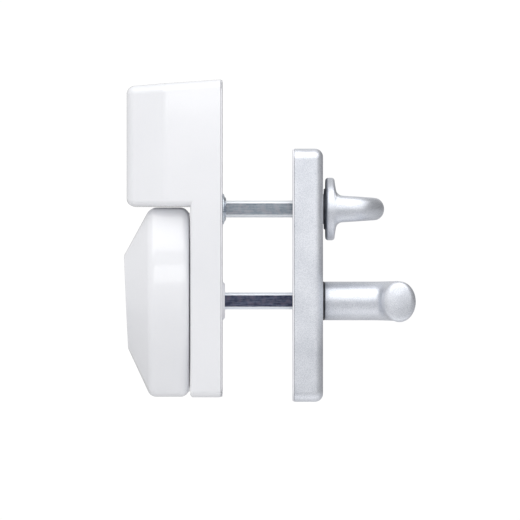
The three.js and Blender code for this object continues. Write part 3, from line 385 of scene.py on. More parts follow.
def platedSteel(name, light, dark):
    look = plated
    paint = Paint(name)
    cloud = paint.noise(look["cloudSize"], 4, 0.6)
    speck = paint.noise(look["speckSize"], 2)
    mixed = paint.span(cloud * 0.7 + speck * 0.3, 0.36, 0.64)
    return paint.finish(
        colour=paint.blend(mixed, dark, light),
        metallic=look["metallic"],
        roughness=paint.span(cloud, 0.35, 0.65, *look["roughness"]),
        normal=paint.bump(speck, look["speckStrength"], look["speckDepth"]),
    )


moulded = {
    "grainSize": 2400,
    "grainDepth": 0.03 * mm,
    "grainStrength": 0.3,
    "cloudSize": 90,
}


def mouldedPlastic(name, colour, shade, rough):
    look = moulded
    paint = Paint(name)
    grain = paint.noise(look["grainSize"], 3, 0.6)
    broad = paint.noise(look["cloudSize"], 2)
    mixed = paint.span(broad * 0.5 + grain * 0.5, 0.36, 0.64)
    return paint.finish(
        colour=paint.blend(mixed, shade, colour),
        roughness=paint.span(grain, 0.35, 0.65, *rough),
        normal=paint.bump(grain, look["grainStrength"], look["grainDepth"]),
    )


turned = {
    "colour": (0.78, 0.66, 0.42, 1),
    "tarnish": (0.62, 0.50, 0.28, 1),
    "ringSize": 900,
    "ringRagged": 1.5,
    "ringDepth": 0.02 * mm,
    "ringStrength": 0.2,
    "cloudSize": 300,
    "metallic": 0.95,
    "roughness": (0.24, 0.36),
}


def turnedBrass():
    # the rings that a lathe leaves, round the key's axis
    look = turned
    paint = Paint("turnedBrass")
    rings = paint.node(
        "ShaderNodeTexWave",
        {"wave_type": "RINGS", "rings_direction": "X"},
        {"Vector": paint.stretched((1, 1, 1), at=(0, 0, -keyZ)), "Scale": look["ringSize"],
         "Distortion": look["ringRagged"], "Detail": 2},
        "Fac",
    )
    cloud = paint.noise(look["cloudSize"], 3)
    return paint.finish(
        colour=paint.blend(paint.span(cloud, 0.35, 0.65), look["tarnish"], look["colour"]),
        metallic=look["metallic"],
        roughness=paint.span(cloud, 0.35, 0.65, *look["roughness"]),
        normal=paint.bump(rings, look["ringStrength"], look["ringDepth"]),
    )


print("materials")
white = whiteEnamel()
silver = silverLacquer()
paleBar = drawnBar(
    "paleDrawnSteel", upperZ, light=(0.40, 0.44, 0.49, 1), dark=(0.20, 0.24, 0.28, 1),
    stain=(0.37, 0.33, 0.36, 1), wearAndHighlight=(0.90, 0.93, 0.96, 1),
)
blueBar = drawnBar(
    "bluedSteel", lowerZ, light=(0.15, 0.17, 0.25, 1), dark=(0.035, 0.04, 0.075, 1),
    stain=(0.14, 0.10, 0.13, 1), wearAndHighlight=(0.84, 0.88, 0.94, 1),
)
zinc = platedSteel("zincPlate", (0.90, 0.95, 1.0, 1), (0.66, 0.74, 0.82, 1))
springSteel = platedSteel("springSteel", (0.34, 0.35, 0.38, 1), (0.20, 0.21, 0.25, 1))
acetal = mouldedPlastic("paleAcetal", (0.94, 0.94, 0.97, 1), (0.86, 0.86, 0.90, 1), (0.42, 0.56))
nylon = mouldedPlastic("blackNylon", (0.035, 0.035, 0.04, 1), (0.02, 0.02, 0.025, 1), (0.42, 0.56))
pad = mouldedPlastic("greyPad", (0.90, 0.90, 0.93, 1), (0.84, 0.84, 0.88, 1), (0.7, 0.85))
brass = turnedBrass()
slotMaterials = {
    "white_enamel": white,
    "silver_lacquer": silver,
    "zinc_plate": zinc,
    "drawn_steel": paleBar,
    "dark_steel": springSteel,
    "pale_acetal": acetal,
    "black_nylon": nylon,
    "grey_pad": pad,
    "brass_plug": brass,
}
slotOf = {row["node"]: row["material_slot"] for row in frame["record"]["subparts"]}
for name, node in frame["nodes"].items():
    node.data.materials.clear()
    node.data.materials.append(slotMaterials[slotOf[name]])


# Outer body: a plate and a tapered tower in one casting
bodyCast = {
    "wall": 2.4 * mm,
    "openBack": 5 * mm,  # how far the hollow is cut past the back, which leaves the casting open there
    "guardGap": 0.5 * mm,
    "taperReach": 26.9 * mm,  # from the seat to where the tower starts to narrow
    "taperShift": 0.35,  # the share of the wall by which the hollow's taper starts later
    "faceWidth": 42 * mm,
    "topDrop": 3.1 * mm,
    "keyHole": 9.6 * mm,
    "hubHole": 10.7 * mm,
    "drillLead": 2 * mm,  # how far in front of the metal both drills start
    "drillDepth": 6 * mm,
    "drillSides": 64,
    "bevel": 4.4 * mm,  # the largest edge radius, which the weights below are shares of
    "bevelSteps": 8,
    "sideWeight": 1.0,
    "faceWeight": 0.85,
    "floorWeight": 0.62,
    "footWeight": 0.7,
    "taperWeight": 0.4,
    "frontWeight": 0.36,
    "innerWeight": 0.16,
    "backWeight": 0.08,
}


def near(a, b):
    return abs(a - b) < samePlace


def bodyCage(inset, backX):
    # the casting's flat sides, or those of its hollow when inset by the wall
    low, high = boxOf("outer_body")
    guardTop = boxOf("swing_guard")[1]
    front = guardTop.x + bodyCast["guardGap"] + inset
    floor = guardTop.z + bodyCast["guardGap"] + inset
    face = low.x + inset
    taper = -bodyCast["taperReach"] + inset * bodyCast["taperShift"]
    bottom, half = low.z + inset, high.y - inset

    def topAt(x):
        return high.z - inset - bodyCast["topDrop"] * (high.x - x) / (high.x - low.x)

    bm = bmesh.new()
    columns = [(backX, [bottom, floor, topAt(backX)]), (front, [bottom, floor, topAt(front)]),
               (taper, [floor, topAt(taper)]), (face, [floor, topAt(face)])]
    posts = [[bm.verts.new((x, -half, z)) for z in heights] for x, heights in columns]
    back, fore, bend, nose = posts
    quads = [(back[0], fore[0], fore[1], back[1]), (back[1], fore[1], fore[2], back[2]),
             (fore[1], bend[0], bend[1], fore[2]), (bend[0], nose[0], nose[1], bend[1])]
    faces = [bm.faces.new(quad) for quad in quads]
    moved = bmesh.ops.extrude_face_region(bm, geom=faces)
    verts = [item for item in moved["geom"] if isinstance(item, bmesh.types.BMVert)]
    bmesh.ops.translate(bm, verts=verts, vec=(0, 2 * half, 0))
    narrow = bodyCast["faceWidth"] / 2 - inset
    for vert in bm.verts:
        if near(vert.co.x, face):
            vert.co.y = math.copysign(narrow, vert.co.y)
    bmesh.ops.recalc_face_normals(bm, faces=bm.faces)
    return bm, {"front": front, "floor": floor, "face": face, "taper": taper, "bottom": bottom, "back": backX}


def edgeWeight(a, b, at):
    # the share of the largest radius that the edge from a to b gets
    look = bodyCast
    if near(a.x, b.x) and near(a.z, b.z):  # it runs across, along Y
        if near(a.x, at["face"]):
            return look["faceWeight"]
        if near(a.x, at["front"]) and near(a.z, at["bottom"]):
            return look["frontWeight"]
        if near(a.x, at["front"]) and near(a.z, at["floor"]):
            return look["innerWeight"]
        if near(a.x, at["back"]) and not near(a.z, at["floor"]):
            return look["backWeight"]
    elif near(a.x, b.x):  # upright
        if near(a.x, at["face"]):
            return look["faceWeight"]
        if near(a.x, at["taper"]):
            return look["taperWeight"]
        if near(a.x, at["front"]) and min(a.z, b.z) < at["floor"] - samePlace:
            return look["frontWeight"]
        if near(a.x, at["back"]):
            return look["backWeight"]
    elif near(a.z, at["bottom"]):
        return look["footWeight"]
    elif near(a.z, at["floor"]):
        if min(a.x, b.x) < at["front"] - samePlace:
            return look["floorWeight"]
    elif a.z > at["floor"]:
        return look["sideWeight"]
    return 0


def outerBody():
    look = bodyCast
    low, high = boxOf("outer_body")
    bm, at = bodyCage(0, high.x)
    weight = bm.edges.layers.float.new("bevel_weight_edge")
    for edge in bm.edges:
        edge[weight] = edgeWeight(edge.verts[0].co, edge.verts[1].co, at)
    obj = toObject("outerBody", bm)
    bevel = obj.modifiers.new("radii", "BEVEL")
    bevel.limit_method = "WEIGHT"
    bevel.width = look["bevel"]
    bevel.segments = look["bevelSteps"]
    bevel.use_clamp_overlap = True
    applyModifiers(obj)
    hollow = bodyCage(look["wall"], high.x + look["openBack"])[0]
    tools = [toObject("hollowTool", hollow)]
    for radius, startX, z in ((look["keyHole"], low.x, keyZ), (look["hubHole"], at["front"], lowerZ)):
        tools.append(rodObject(
            radius, startX - look["drillLead"], startX + look["drillDepth"], 0, z, look["drillSides"]))
    carve(obj, tools)
    return finishPiece(obj, "housing", white, ["outer_body"], 35)


print("outer body")
outerBody()


# Guard: a dome that is hollow from behind, whose face leans outwards at the top
guardCast = {
    "wall": 2.5 * mm,
    "side": 18.6 * mm,  # depth of its straight side
    "rim": 4.4 * mm,
    "rimShare": 0.98,  # the rim's radius, as a share of the room it has
    "shoulder": 5.0 * mm,
    "faceRadius": 22.2 * mm,
    "faceEdge": 3.0 * mm,
    "faceInset": 0.3,  # how much smaller the hollow's face is, as a share of the wall
    "pole": 0.2 * mm,  # the last ring, which closes the face
    "lean": 2.6,  # degrees
    "bowRadius": 120 * mm,
    "corner": 5 * mm,
    "cornerLeast": 1 * mm,
    "flatShare": 0.28,  # how the steps of the near side are shared out
    "cornerShare": 0.5,
    "steps": 192,
}


def roundedProfile(points, steps=7):
    # a profile whose corners carry a radius: (x, r, cornerRadius)
    made = []
    for i, (x, r, radius) in enumerate(points):
        if not radius:
            made.append((x, r))
            continue
        here = Vector((x, r))
        before = (Vector(points[i - 1][:2]) - here).normalized()
        after = (Vector(points[i + 1][:2]) - here).normalized()
        half = before.angle(after) / 2
        reach = radius / math.tan(half)
        centre = here + (before + after).normalized() * radius / math.sin(half)
        start, end = here + before * reach - centre, here + after * reach - centre
        turn = start.angle_signed(end)
        for k in range(steps + 1):
            made.append(tuple(centre + Matrix.Rotation(-turn * k / steps, 2) @ start))
    return made


def guardRim(share, half, tall, inset):
    # a point of the outline seen from outside: the far side is half an oval, the near side is bowed
    look = guardCast
    bow, corner = look["bowRadius"] - inset, max(look["corner"] - inset, look["cornerLeast"])
    turn = math.asin((tall - corner) / (bow - corner))
    cornerY = bow - half - (bow - corner) * math.cos(turn)
    if share < 0.5:
        angle = (share * 2 - 0.5) * math.pi
        return half * math.cos(angle), tall * math.sin(angle)
    along = (share - 0.5) * 2
    upper = 1 if along < 0.5 else -1
    along = 1 - abs(along * 2 - 1)  # 0 at the top or the bottom, 1 at the middle of the near side
    if along < look["flatShare"]:
        return cornerY * along / look["flatShare"], upper * tall
    if along < look["cornerShare"]:
        done = (along - look["flatShare"]) / (look["cornerShare"] - look["flatShare"])
        angle = math.pi / 2 + (math.pi / 2 - turn) * done
        return cornerY + corner * math.cos(angle), upper * (tall - corner + corner * math.sin(angle))
    angle = math.pi - turn * (1 - (along - look["cornerShare"]) / (1 - look["cornerShare"]))
    return bow - half + bow * math.cos(angle), upper * bow * math.sin(angle)


def guardShell():
    look = guardCast
    low, high = boxOf("swing_guard")
    centreZ, radius, half = (low.z + high.z) / 2, (high.z - low.z) / 2, (high.y - low.y) / 2
    lean = math.tan(math.radians(look["lean"]))
    face = low.x + lean * look["faceRadius"]
    shoulder = high.x - look["side"]
    bm = bmesh.new()

    def skin(inset, profile):
        # rings of the outline, one for each (x, radius) of the profile
        rings = []
        tall = radius - inset
        for x, r in profile:
            forward = min(max((shoulder - x) / (shoulder - face), 0), 1)

            def place(turn, x=x, r=r, forward=forward):
                y, z = guardRim((turn / (2 * math.pi)) % 1, half - inset, tall, inset)
                y, z = y * r / tall, z * r / tall
                return Vector((x - lean * z * forward, y, z + centreZ))

            rings.append(ringOf(bm, look["steps"], place))
        return rings

    outer = skin(0, roundedProfile([
        (high.x, radius - look["rim"], 0),
        (high.x, radius, look["rim"] * look["rimShare"]),
        (shoulder, radius, look["shoulder"]),
        (face, look["faceRadius"], look["faceEdge"]),
        (face, look["pole"], 0),
    ]))
    wall = look["wall"]
    inner = skin(wall, [
        (high.x, radius - wall),
        (shoulder + wall / 2, radius - wall),
        (face + wall, look["faceRadius"] - wall * look["faceInset"]),
        (face + wall, look["pole"]),
    ])
    loft(bm, outer[::-1] + inner)
    obj = toObject("guardShell", bm)
    return finishPiece(obj, "guard", white, ["swing_guard"], 40)


# The boss inside the guard, which the hub is screwed to
bossCast = {
    "hubGap": 0.1 * mm,
    "front": 4.2 * mm,  # behind the guard's foremost point
    "bore": 9.5 * mm,
    "boreEdge": 0.5 * mm,
    "frontRadius": 16 * mm,
    "backRadius": 17 * mm,
    "backEdge": (0.6 * mm, 0.4 * mm),  # along and in
    "narrowFrom": 6 * mm,  # further than this from its back it is narrowed, to stay within the dome
    "narrowShare": 0.62,
    "sides": 64,
}


def guardBoss():
    look = bossCast
    start = boxOf("swing_guard")[0].x + look["front"]
    end = boxOf("guard_hub")[0].x - look["hubGap"]
    along, inward = look["backEdge"]
    bore, back = look["bore"], look["backRadius"]
    bm = spun([
        (start, bore), (start, look["frontRadius"]), (end - along, back), (end, back - inward),
        (end, bore + look["boreEdge"]), (end - look["boreEdge"], bore), (start, bore),
    ], lowerZ, look["sides"])
    obj = toObject("guardBoss", bm)
    for vert in obj.data.vertices:
        if vert.co.x < end - look["narrowFrom"]:
            vert.co.y *= look["narrowShare"]
    return finishPiece(obj, "guard", white)


print("guard")
guardShell()
guardBoss()


# Bars, washer and bush in the gap
barStock = {"chamfer": 1.05 * mm, "edge": 0.16 * mm, "edgeSteps": 2}


def squareBar(name, node, body, material):
    bm = block(*boxOf(node))
    bevelEdges(bm, alongX(bm), barStock["chamfer"], 1)
    bevelEdges(bm, list(bm.edges), barStock["edge"], barStock["edgeSteps"])
    return finishPiece(toObject(name, bm), body, material, [node])


washerPress = {
    "bore": 4.4 * mm,
    "rimEdge": 0.15 * mm,
    "rimDepth": 0.55 * mm,
    "rimFrontEdge": 0.2 * mm,
    "domeDepth": 0.9 * mm,
    "domeIn": 1.2 * mm,  # in from the rim
    "domeEdge": 0.4 * mm,
    "crownIn": 2.2 * mm,
    "crownEdge": 0.3 * mm,
    "lip": (0.1 * mm, 0.2 * mm),  # along and out, where the bore meets the crown
    "barGap": 0.1 * mm,
    "sides": 72,
}


def springWasher():
    look = washerPress
    low, high = boxOf("bar_retainer")
    rim, bore = (high.z - low.z) / 2, look["bore"]
    lipAlong, lipOut = look["lip"]
    bm = spun(roundedProfile([
        (low.x, bore, 0),
        (low.x, rim, look["rimEdge"]),
        (low.x + look["rimDepth"], rim, look["rimFrontEdge"]),
        (low.x + look["domeDepth"], rim - look["domeIn"], look["domeEdge"]),
        (high.x, rim - look["crownIn"], look["crownEdge"]),
        (high.x - lipAlong, bore + lipOut, 0),
        (low.x, bore, 0),
    ], 3), upperZ, look["sides"])
    obj = toObject("springWasher", bm)
    barLow, barHigh = boxOf("upper_bar")
    gap = Vector((0, look["barGap"], look["barGap"]))
    carve(obj, [toObject("squareTool", block(barLow - gap, barHigh + gap))])
    return finishPiece(obj, "thumb", zinc, ["bar_retainer"])


bushTurning = {
    "bore": 7.1 * mm,
    "boreEdge": 0.3 * mm,
    "flange": 11.3 * mm,
    "flangeDepth": 1.1 * mm,
    "flangeEdge": 0.2 * mm,
    "cone": 9.5 * mm,
    "coneEdge": 0.3 * mm,
    "nose": 8.1 * mm,
    "noseEdge": 0.5 * mm,
    "sides": 72,
}


def rearBush():
    look = bushTurning
    low, high = boxOf("rear_bush")
    bore, flangeX = look["bore"], low.x + look["flangeDepth"]
    seatX = 0  # the leaf's outer face, where the cone starts
    bm = spun(roundedProfile([
        (low.x, bore, 0),
        (low.x, look["flange"], look["flangeEdge"]),
        (flangeX, look["flange"], look["flangeEdge"]),
        (flangeX, look["cone"], 0),
        (seatX, look["cone"], look["coneEdge"]),
        (high.x, look["nose"], look["noseEdge"]),
        (high.x, bore + look["boreEdge"], 0),
        (high.x - look["boreEdge"], bore, 0),
        (low.x, bore, 0),
    ], 4), lowerZ, look["sides"])
    return finishPiece(toObject("rearBush", bm), "housing", acetal, ["rear_bush"])


print("bars and bushes")
squareBar("upperBar", "upper_bar", "thumb", paleBar)
squareBar("lowerBar", "lower_bar", "guard", blueBar)
springWasher()
rearBush()


# Inner plate, and the four through holes of the inner unit
plateCast = {
    "corner": 5 * mm,
    "cornerSteps": 10,
    "edge": 3.9 * mm,
    "edgeSteps": 9,
    "backEdge": 0.3 * mm,
    "wall": 2.4 * mm,
    "openBack": 5 * mm,  # how far the hollow is cut past the back
    "hollowCorner": 3 * mm,
}
fixing = {
    "halfSpan": 14.4 * mm,
    "top": 38 * mm,
    "bottom": -58 * mm,
    "hole": 2.75 * mm,
    "head": 4.6 * mm,
    "past": 2 * mm,  # how far the drill comes out
    "proud": 0.01 * mm,  # how far the countersink stands out
    "sides": 40,
}


def slab(low, high, corner):
    bm = block(low, high)
    bevelEdges(bm, alongX(bm), corner, plateCast["cornerSteps"])
    return bm


def edgesAt(bm, x):
    # the edges that lie in the plane at x
    return [e for e in bm.edges if all(near(v.co.x, x) for v in e.verts)]


def innerPlate():
    look = plateCast
    low, high = boxOf("inner_plate")
    bm = slab(low, high, look["corner"])
    bevelEdges(bm, edgesAt(bm, high.x), look["edge"], look["edgeSteps"])
    bevelEdges(bm, edgesAt(bm, low.x), look["backEdge"], 2)
    obj = toObject("innerPlate", bm)
    wall = look["wall"]
    hollow = slab(low + Vector((-look["openBack"], wall, wall)), high - Vector((wall, wall, wall)),
                  look["hollowCorner"])
    tools = [toObject("hollowTool", hollow)]
    hole, head, sides = fixing["hole"], fixing["head"], fixing["sides"]
    sinkX = high.x - (head - hole)
    for y in (-fixing["halfSpan"], fixing["halfSpan"]):
        for z in (fixing["top"], fixing["bottom"]):
            tools.append(rodObject(hole, low.x, high.x + fixing["past"], y, z, sides))
            tools.append(rodObject(hole, sinkX, high.x + fixing["proud"], y, z, sides, head))
    carve(obj, tools)
    return finishPiece(obj, "housing", silver, ["inner_plate"], 35)


def backGasket():
    # the pad behind the outer body, with its corners rounded like the body's
    node = "back_gasket"
    bm = bmesh.new()
    bm.from_mesh(frame["nodes"][node].data)
    obj = toObject("backGasket", bm)
    low, high = boxOf(node)
    past = Vector((mm, 0, 0))
    carve(obj, [toObject("trimTool", slab(low - past, high + past, bodyCast["bevel"]))], "INTERSECT")
    return finishPiece(obj, "housing", pad, [node])


print("inner plate and gasket")
innerPlate()
backGasket()


# Lever: a round neck that bends into an oval grip
leverCast = {
    "neck": 9.25 * mm,
    "rootGap": 0.1 * mm,  # to the washer
    "rootEdge": 0.25 * mm,
    "neckRings": (4 * mm, 10 * mm),  # from the root
    "bend": 12 * mm,
    "bendLead": 3 * mm,
    "bendSteps": 14,
    "gripHeight": 19.2 * mm,
    "gripWidth": 15.4 * mm,
    "gripRings": (8 * mm, 22 * mm),  # past the bend
    "endEdge": 3.4 * mm,
    "endSteps": 8,
    "endCrown": 0.5 * mm,
    "crownRings": (0.75, 0.5, 0.25, 0.04),  # shares of the flat end's size
    "smallest": 0.05 * mm,
    "sides": 64,
}


def leverStations(low, high):
    # the lever's centre line from root to end: (centre, angle turned, how much smaller than full size)
    look = leverCast
    axisX = high.x - look["gripWidth"] / 2
    start = boxOf("lever_washer")[1].x + look["rootGap"]
    bend, edge, crown = look["bend"], look["endEdge"], look["endCrown"]
    quarter = math.pi / 2
    stations = [(Vector((start, 0)), 0, look["rootEdge"]), (Vector((start + look["rootEdge"], 0)), 0, 0)]
    neck = [start + x for x in look["neckRings"]] + [axisX - bend - look["bendLead"]]
    stations += [(Vector((x, 0)), 0, 0) for x in neck]
    for i in range(look["bendSteps"] + 1):
        angle = i / look["bendSteps"] * quarter
        centre = Vector((axisX - bend + bend * math.sin(angle), -bend + bend * math.cos(angle)))
        stations.append((centre, angle, 0))
    straight = low.y + edge
    grip = [-bend - y for y in look["gripRings"]] + [straight]
    stations += [(Vector((axisX, y)), quarter, 0) for y in grip]
    for i in range(1, look["endSteps"] + 1):
        angle = i / look["endSteps"] * quarter
        y = straight - (edge - crown) * math.sin(angle)
        stations.append((Vector((axisX, y)), quarter, edge * (1 - math.cos(angle))))
    rim = look["gripWidth"] / 2 - edge
    for share in look["crownRings"]:
        y = low.y + crown * share ** 2
        stations.append((Vector((axisX, y)), quarter, edge + rim * (1 - share)))
    return stations


def leverGrip():
    look = leverCast
    bm = bmesh.new()
    rings = []
    for centre, angle, smaller in leverStations(*boxOf("lever")):
        share = angle / (math.pi / 2)
        share = share * share * (3 - 2 * share)
        tall = look["neck"] * (1 - share) + look["gripHeight"] / 2 * share - smaller
        wide = look["neck"] * (1 - share) + look["gripWidth"] / 2 * share - smaller
        tall, wide = max(tall, look["smallest"]), max(wide, look["smallest"])
        side = Vector((math.sin(angle), math.cos(angle)))

        def place(turn, centre=centre, tall=tall, wide=wide, side=side):
            flat = centre + side * wide * math.cos(turn)
            return Vector((flat.x, flat.y, lowerZ + tall * math.sin(turn)))

        rings.append(ringOf(bm, look["sides"], place))
    loft(bm, rings)
    obj = toObject("leverGrip", bm)
    return finishPiece(obj, "guard", silver, ["lever"], 50)


spindleTurning = {
    "bore": 5.3 * mm,
    "edge": 0.3 * mm,
    "leverRadius": 7.2 * mm,
    "leverInto": 0.3 * mm,  # how far it runs into the lever, past the washer
    "thumbRadius": 6.4 * mm,
    "thumbInto": 1.0 * mm,  # how far it runs past the plate
    "sides": 64,
}


def spindleTube(name, node, radius, endX, z, body):
    look = spindleTurning
    startX, bore = boxOf(node)[0].x, look["bore"]
    bm = spun(roundedProfile([
        (startX, bore, 0),
        (startX, radius, look["edge"]),
        (endX, radius, 0),
        (endX, bore, 0),
        (startX, bore, 0),
    ], 3), z, look["sides"])
    return finishPiece(toObject(name, bm), body, silver)


print("lever")
leverGrip()
leverRoot = boxOf("lever_washer")[1].x + spindleTurning["leverInto"]
spindleTube("leverSpindle", "lever", spindleTurning["leverRadius"], leverRoot, lowerZ, "guard")


# Thumb-turn: a disc that flows into a half-round blade
thumbCast = {
    "standOff": 1.2 * mm,  # from the plate to the back of the disc
    "step": 0.7 * mm,
    "stepRadius": 9.75 * mm,
    "stepEdge": 0.2 * mm,
    "discRim": 1.5 * mm,
    "discThickness": 5.0 * mm,
    "cone": 0.5 * mm,  # how far the disc's face leans back at its rim
    "root": 13.0 * mm,
    "tip": 10.1 * mm,
    "fillet": 3.2 * mm,
    "edge": 4.4 * mm,
    "bladeShare": 0.999,  # the blade's width as a share of the disc's
    "tipTurn": 0.985,  # the share of a quarter turn at which the tip closes
    "bladeRings": (0.35, 0.7, 1.0),  # shares of the way from the fillet to the round tip
    "rimSteps": 6,
    "filletSteps": 8,
    "tipSteps": 20,
    "sides": 96,
}


def quarterTurns(steps, first=0):
    return [i / steps * math.pi / 2 for i in range(first, steps + 1)]


def thumbTurn():
    look = thumbCast
    low, high = boxOf("thumb_turn")
    radius = (high.z - low.z) / 2
    tipX, centreX = high.x, high.x - radius
    backX = boxOf("inner_plate")[1].x + look["standOff"]
    faceX = backX + look["discThickness"]
    bladeWidth = radius * look["bladeShare"]
    rim, edge, fillet = look["discRim"], look["edge"], look["fillet"]
    bm = bmesh.new()
    rings = []

    def circle(x, r):
        rings.append(ringOf(bm, look["sides"], lambda a: Vector(
            (x, r * math.cos(a), upperZ + r * math.sin(a)))))

    def shoulder(x, tall):
        # the disc's front edge, which is round above and below and runs into the blade's two sides
        rings.append(ringOf(bm, look["sides"], lambda a: Vector(
            (x, radius * math.cos(a), upperZ + tall * math.sin(a)))))

    def pill(x, halfThick, width, edge):
        # a slice of the blade, thinned towards its outline
        def place(a):
            y = width * math.cos(a)
            depth = max(bladeWidth - math.hypot(y, max(x - centreX, 0)), 0)
            share = min(depth / edge, 1)
            lift = math.sqrt(max(1 - (1 - share) ** 2, 0))
            return Vector((x, y, upperZ + math.copysign(halfThick * lift, math.sin(a))))

        rings.append(ringOf(bm, look["sides"], place))

    def thick(x):
        # half the blade's thickness, from its root to its tip
        share = min(max((x - faceX) / (tipX - faceX), 0), 1)
        return (look["root"] + (look["tip"] - look["root"]) * share) / 2

    circle(backX - look["step"], look["stepRadius"] - look["stepEdge"])
    circle(backX - look["step"] + look["stepEdge"], look["stepRadius"])
    circle(backX, look["stepRadius"])
    circle(backX, radius - rim)
    for angle in quarterTurns(look["rimSteps"], 1):
        circle(backX + rim * (1 - math.cos(angle)), radius - rim * (1 - math.sin(angle)))
    for angle in quarterTurns(look["rimSteps"]):
        shoulder(faceX - look["cone"] - rim + rim * math.sin(angle), radius - rim * (1 - math.cos(angle)))
    for angle in quarterTurns(look["filletSteps"]):
        x = faceX + fillet * (1 - math.cos(angle))
        extra = fillet * (1 - math.sin(angle))
        pill(x, thick(x) + extra, bladeWidth, edge + extra)
    for share in look["bladeRings"]:
        x = faceX + fillet + (centreX - faceX - fillet) * share
        pill(x, thick(x), bladeWidth, edge)
    for angle in quarterTurns(look["tipSteps"], 1):
        angle *= look["tipTurn"]
        x = centreX + radius * math.sin(angle)
        pill(x, thick(x), bladeWidth * math.cos(angle), edge)
    loft(bm, rings)
    obj = toObject("thumbTurn", bm)
    return finishPiece(obj, "thumb", silver, ["thumb_turn"], 60)


print("thumb-turn")
thumbTurn()
thumbRoot = boxOf("inner_plate")[1].x + spindleTurning["thumbInto"]
spindleTube("thumbSpindle", "thumb_turn", spindleTurning["thumbRadius"], thumbRoot, upperZ, "thumb")


# Key cylinder: a stepped shell with a dished face, and a plug with a keyway
keyLock = {
    "shell": 11 * mm,
    "shellEdge": 0.3 * mm,
    "nose": 9.4 * mm,  # the front of the shell, in the tower's hole
    "noseDepth": 2.4 * mm,
    "noseEdge": 0.5 * mm,
    "dish": (7.4 * mm, 6.9 * mm),  # its radius at the face and at its floor
    "dishDepth": 0.5 * mm,
    "dishEdge": 0.3 * mm,
    "bore": (6.15 * mm, 6.2 * mm),  # in front and behind
    "plug": 6 * mm,
    "plugSet": 0.45 * mm,  # how far the plug's face is set back
    "plugEdge": 0.4 * mm,
    "plugBackEdge": 0.2 * mm,
    "keyway": [  # the slot and its two wards, corner to corner in millimetres, across and up
        ((-0.85, -3.8), (0.85, 3.8)), ((0.5, -1.4), (1.45, 0.4)), ((-1.45, 0.9), (-0.5, 2.3))],
    "cutLead": 2 * mm,
    "cutDepth": 24 * mm,
    "shellSides": 72,
    "plugSides": 64,
}


def keyShell():
    look = keyLock
    low, high = boxOf("cylinder_shell")
    noseX, dishX = low.x + look["noseDepth"], low.x + look["dishDepth"]
    boreFront, boreBack = look["bore"]
    dishFace, dishFloor = look["dish"]
    bm = spun(roundedProfile([
        (high.x, boreBack, 0),
        (high.x, look["shell"], look["shellEdge"]),
        (noseX, look["shell"], 0),
        (noseX, look["nose"], 0),
        (low.x, look["nose"], look["noseEdge"]),
        (low.x, dishFace, look["dishEdge"]),
        (dishX, dishFloor, look["dishEdge"]),
        (dishX, boreFront, 0),
        (high.x, boreBack, 0),
    ], 4), keyZ, look["shellSides"])
    return finishPiece(toObject("keyShell", bm), "housing", zinc, ["cylinder_shell"])


def keyPlug():
    look = keyLock
    low, high = boxOf("cylinder_plug")
    face, radius = low.x + look["plugSet"], look["plug"]
    bm = spun(roundedProfile([
        (face, 0, 0),
        (face, radius, look["plugEdge"]),
        (high.x, radius, look["plugBackEdge"]),
        (high.x, 0, 0),
    ], 4), keyZ, look["plugSides"])
    plug = toObject("keyPlug", bm)
    tools = []
    for (y0, z0), (y1, z1) in look["keyway"]:
        cut = block(Vector((face - look["cutLead"], y0 * mm, keyZ + z0 * mm)),
                    Vector((face + look["cutDepth"], y1 * mm, keyZ + z1 * mm)))
        tools.append(toObject("keywayTool", cut))
    carve(plug, tools)
    return finishPiece(plug, "key_plug", brass, ["cylinder_plug"])


print("key cylinder")
keyShell()
keyPlug()


# Stage: camera, floor, world and lights
studio = {
    "distance": 3.0,
    "sensor": 36,
    "frameWidth": 249 * mm,
    "centre": (18.0 * mm, -2.4 * mm),
    "clip": (0.05, 40),
    "floorDrop": 0.45,
    "floorSize": 14.4,
    "floorColours": ((0.91, 0.91, 0.92, 1), (0.95, 0.95, 0.96, 1)),
    "floorRoughness": 0.7,
    "fill": 0.60,
    "backdrop": 1.03,
    "rightShade": 0.2,  # the share of the fill that is left on the lever's side
    "rightSpan": (0.1, 0.6),
    "leftGlow": 0.16,  # added on the guard's side
    "leftSpan": (-0.85, -0.4),
}
lights = [  # name, place, aimed at, size, watts
    ("softboxAbove", (0.06, -0.38, 0.50), (0.02, 0, 0), (1.1, 0.7), 3.7),
    ("stripFront", (0.15, -0.62, 0.135), (0.03, 0, 0), (0.9, 0.10), 0.50),
    ("softboxBelow", (0.02, -0.10, -0.43), (0.02, 0, 0), (0.9, 0.36), 0.33),
]


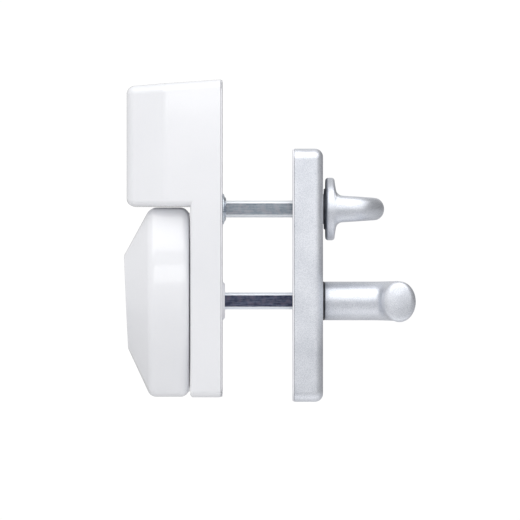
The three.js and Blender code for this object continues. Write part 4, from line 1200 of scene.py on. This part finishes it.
def addCamera():
    data = bpy.data.cameras.new("camera")
    data.sensor_width = studio["sensor"]
    data.lens = studio["sensor"] * studio["distance"] / studio["frameWidth"]
    data.clip_start, data.clip_end = studio["clip"]
    camera = bpy.data.objects.new("camera", data)
    bpy.context.scene.collection.objects.link(camera)
    camera.location = (studio["centre"][0], -studio["distance"], studio["centre"][1])
    camera.rotation_euler = (math.pi / 2, 0, 0)
    bpy.context.scene.camera = camera


def addFloor():
    bm = bmesh.new()
    bmesh.ops.create_grid(bm, x_segments=1, y_segments=1, size=studio["floorSize"] / 2)
    bmesh.ops.translate(bm, verts=bm.verts, vec=(0, 0, -studio["floorDrop"]))
    floor = toObject("floor", bm)
    paint = Paint("paleFloor")
    colour = paint.blend(paint.span(paint.noise(40, 3), 0.3, 0.7), *studio["floorColours"])
    floor.data.materials.append(paint.finish(colour=colour, roughness=studio["floorRoughness"]))


def addWorld():
    # an even pale backdrop for the camera, and a soft surrounding that is darker on the lever's side
    world = bpy.data.worlds.new("studio")
    bpy.context.scene.world = world
    world.use_nodes = True
    paint = Paint("studio", world.node_tree)
    across = paint.part("X")
    fill = studio["fill"]
    around = paint.span(across, *studio["rightSpan"], fill, fill * studio["rightShade"])
    around = around + paint.span(across, *studio["leftSpan"], studio["leftGlow"], 0)
    seen = paint.node("ShaderNodeLightPath", {}, {}, "Is Camera Ray")
    background = world.node_tree.nodes["Background"]
    paint.connect(background.inputs["Strength"], around + seen * (studio["backdrop"] - around))
    paint.connect(background.inputs["Color"], (1, 1, 1, 1))


def addLight(name, place, target, size, watts):
    data = bpy.data.lights.new(name, "AREA")
    data.shape = "RECTANGLE"
    data.size, data.size_y = size
    data.energy = watts
    light = bpy.data.objects.new(name, data)
    bpy.context.scene.collection.objects.link(light)
    light.visible_camera = False
    light.location = place
    light.rotation_euler = (Vector(target) - Vector(place)).to_track_quat("-Z", "Y").to_euler()


print("stage")
addCamera()
addFloor()
addWorld()
for light in lights:
    addLight(*light)
bpy.context.scene.view_settings.view_transform = "Standard"
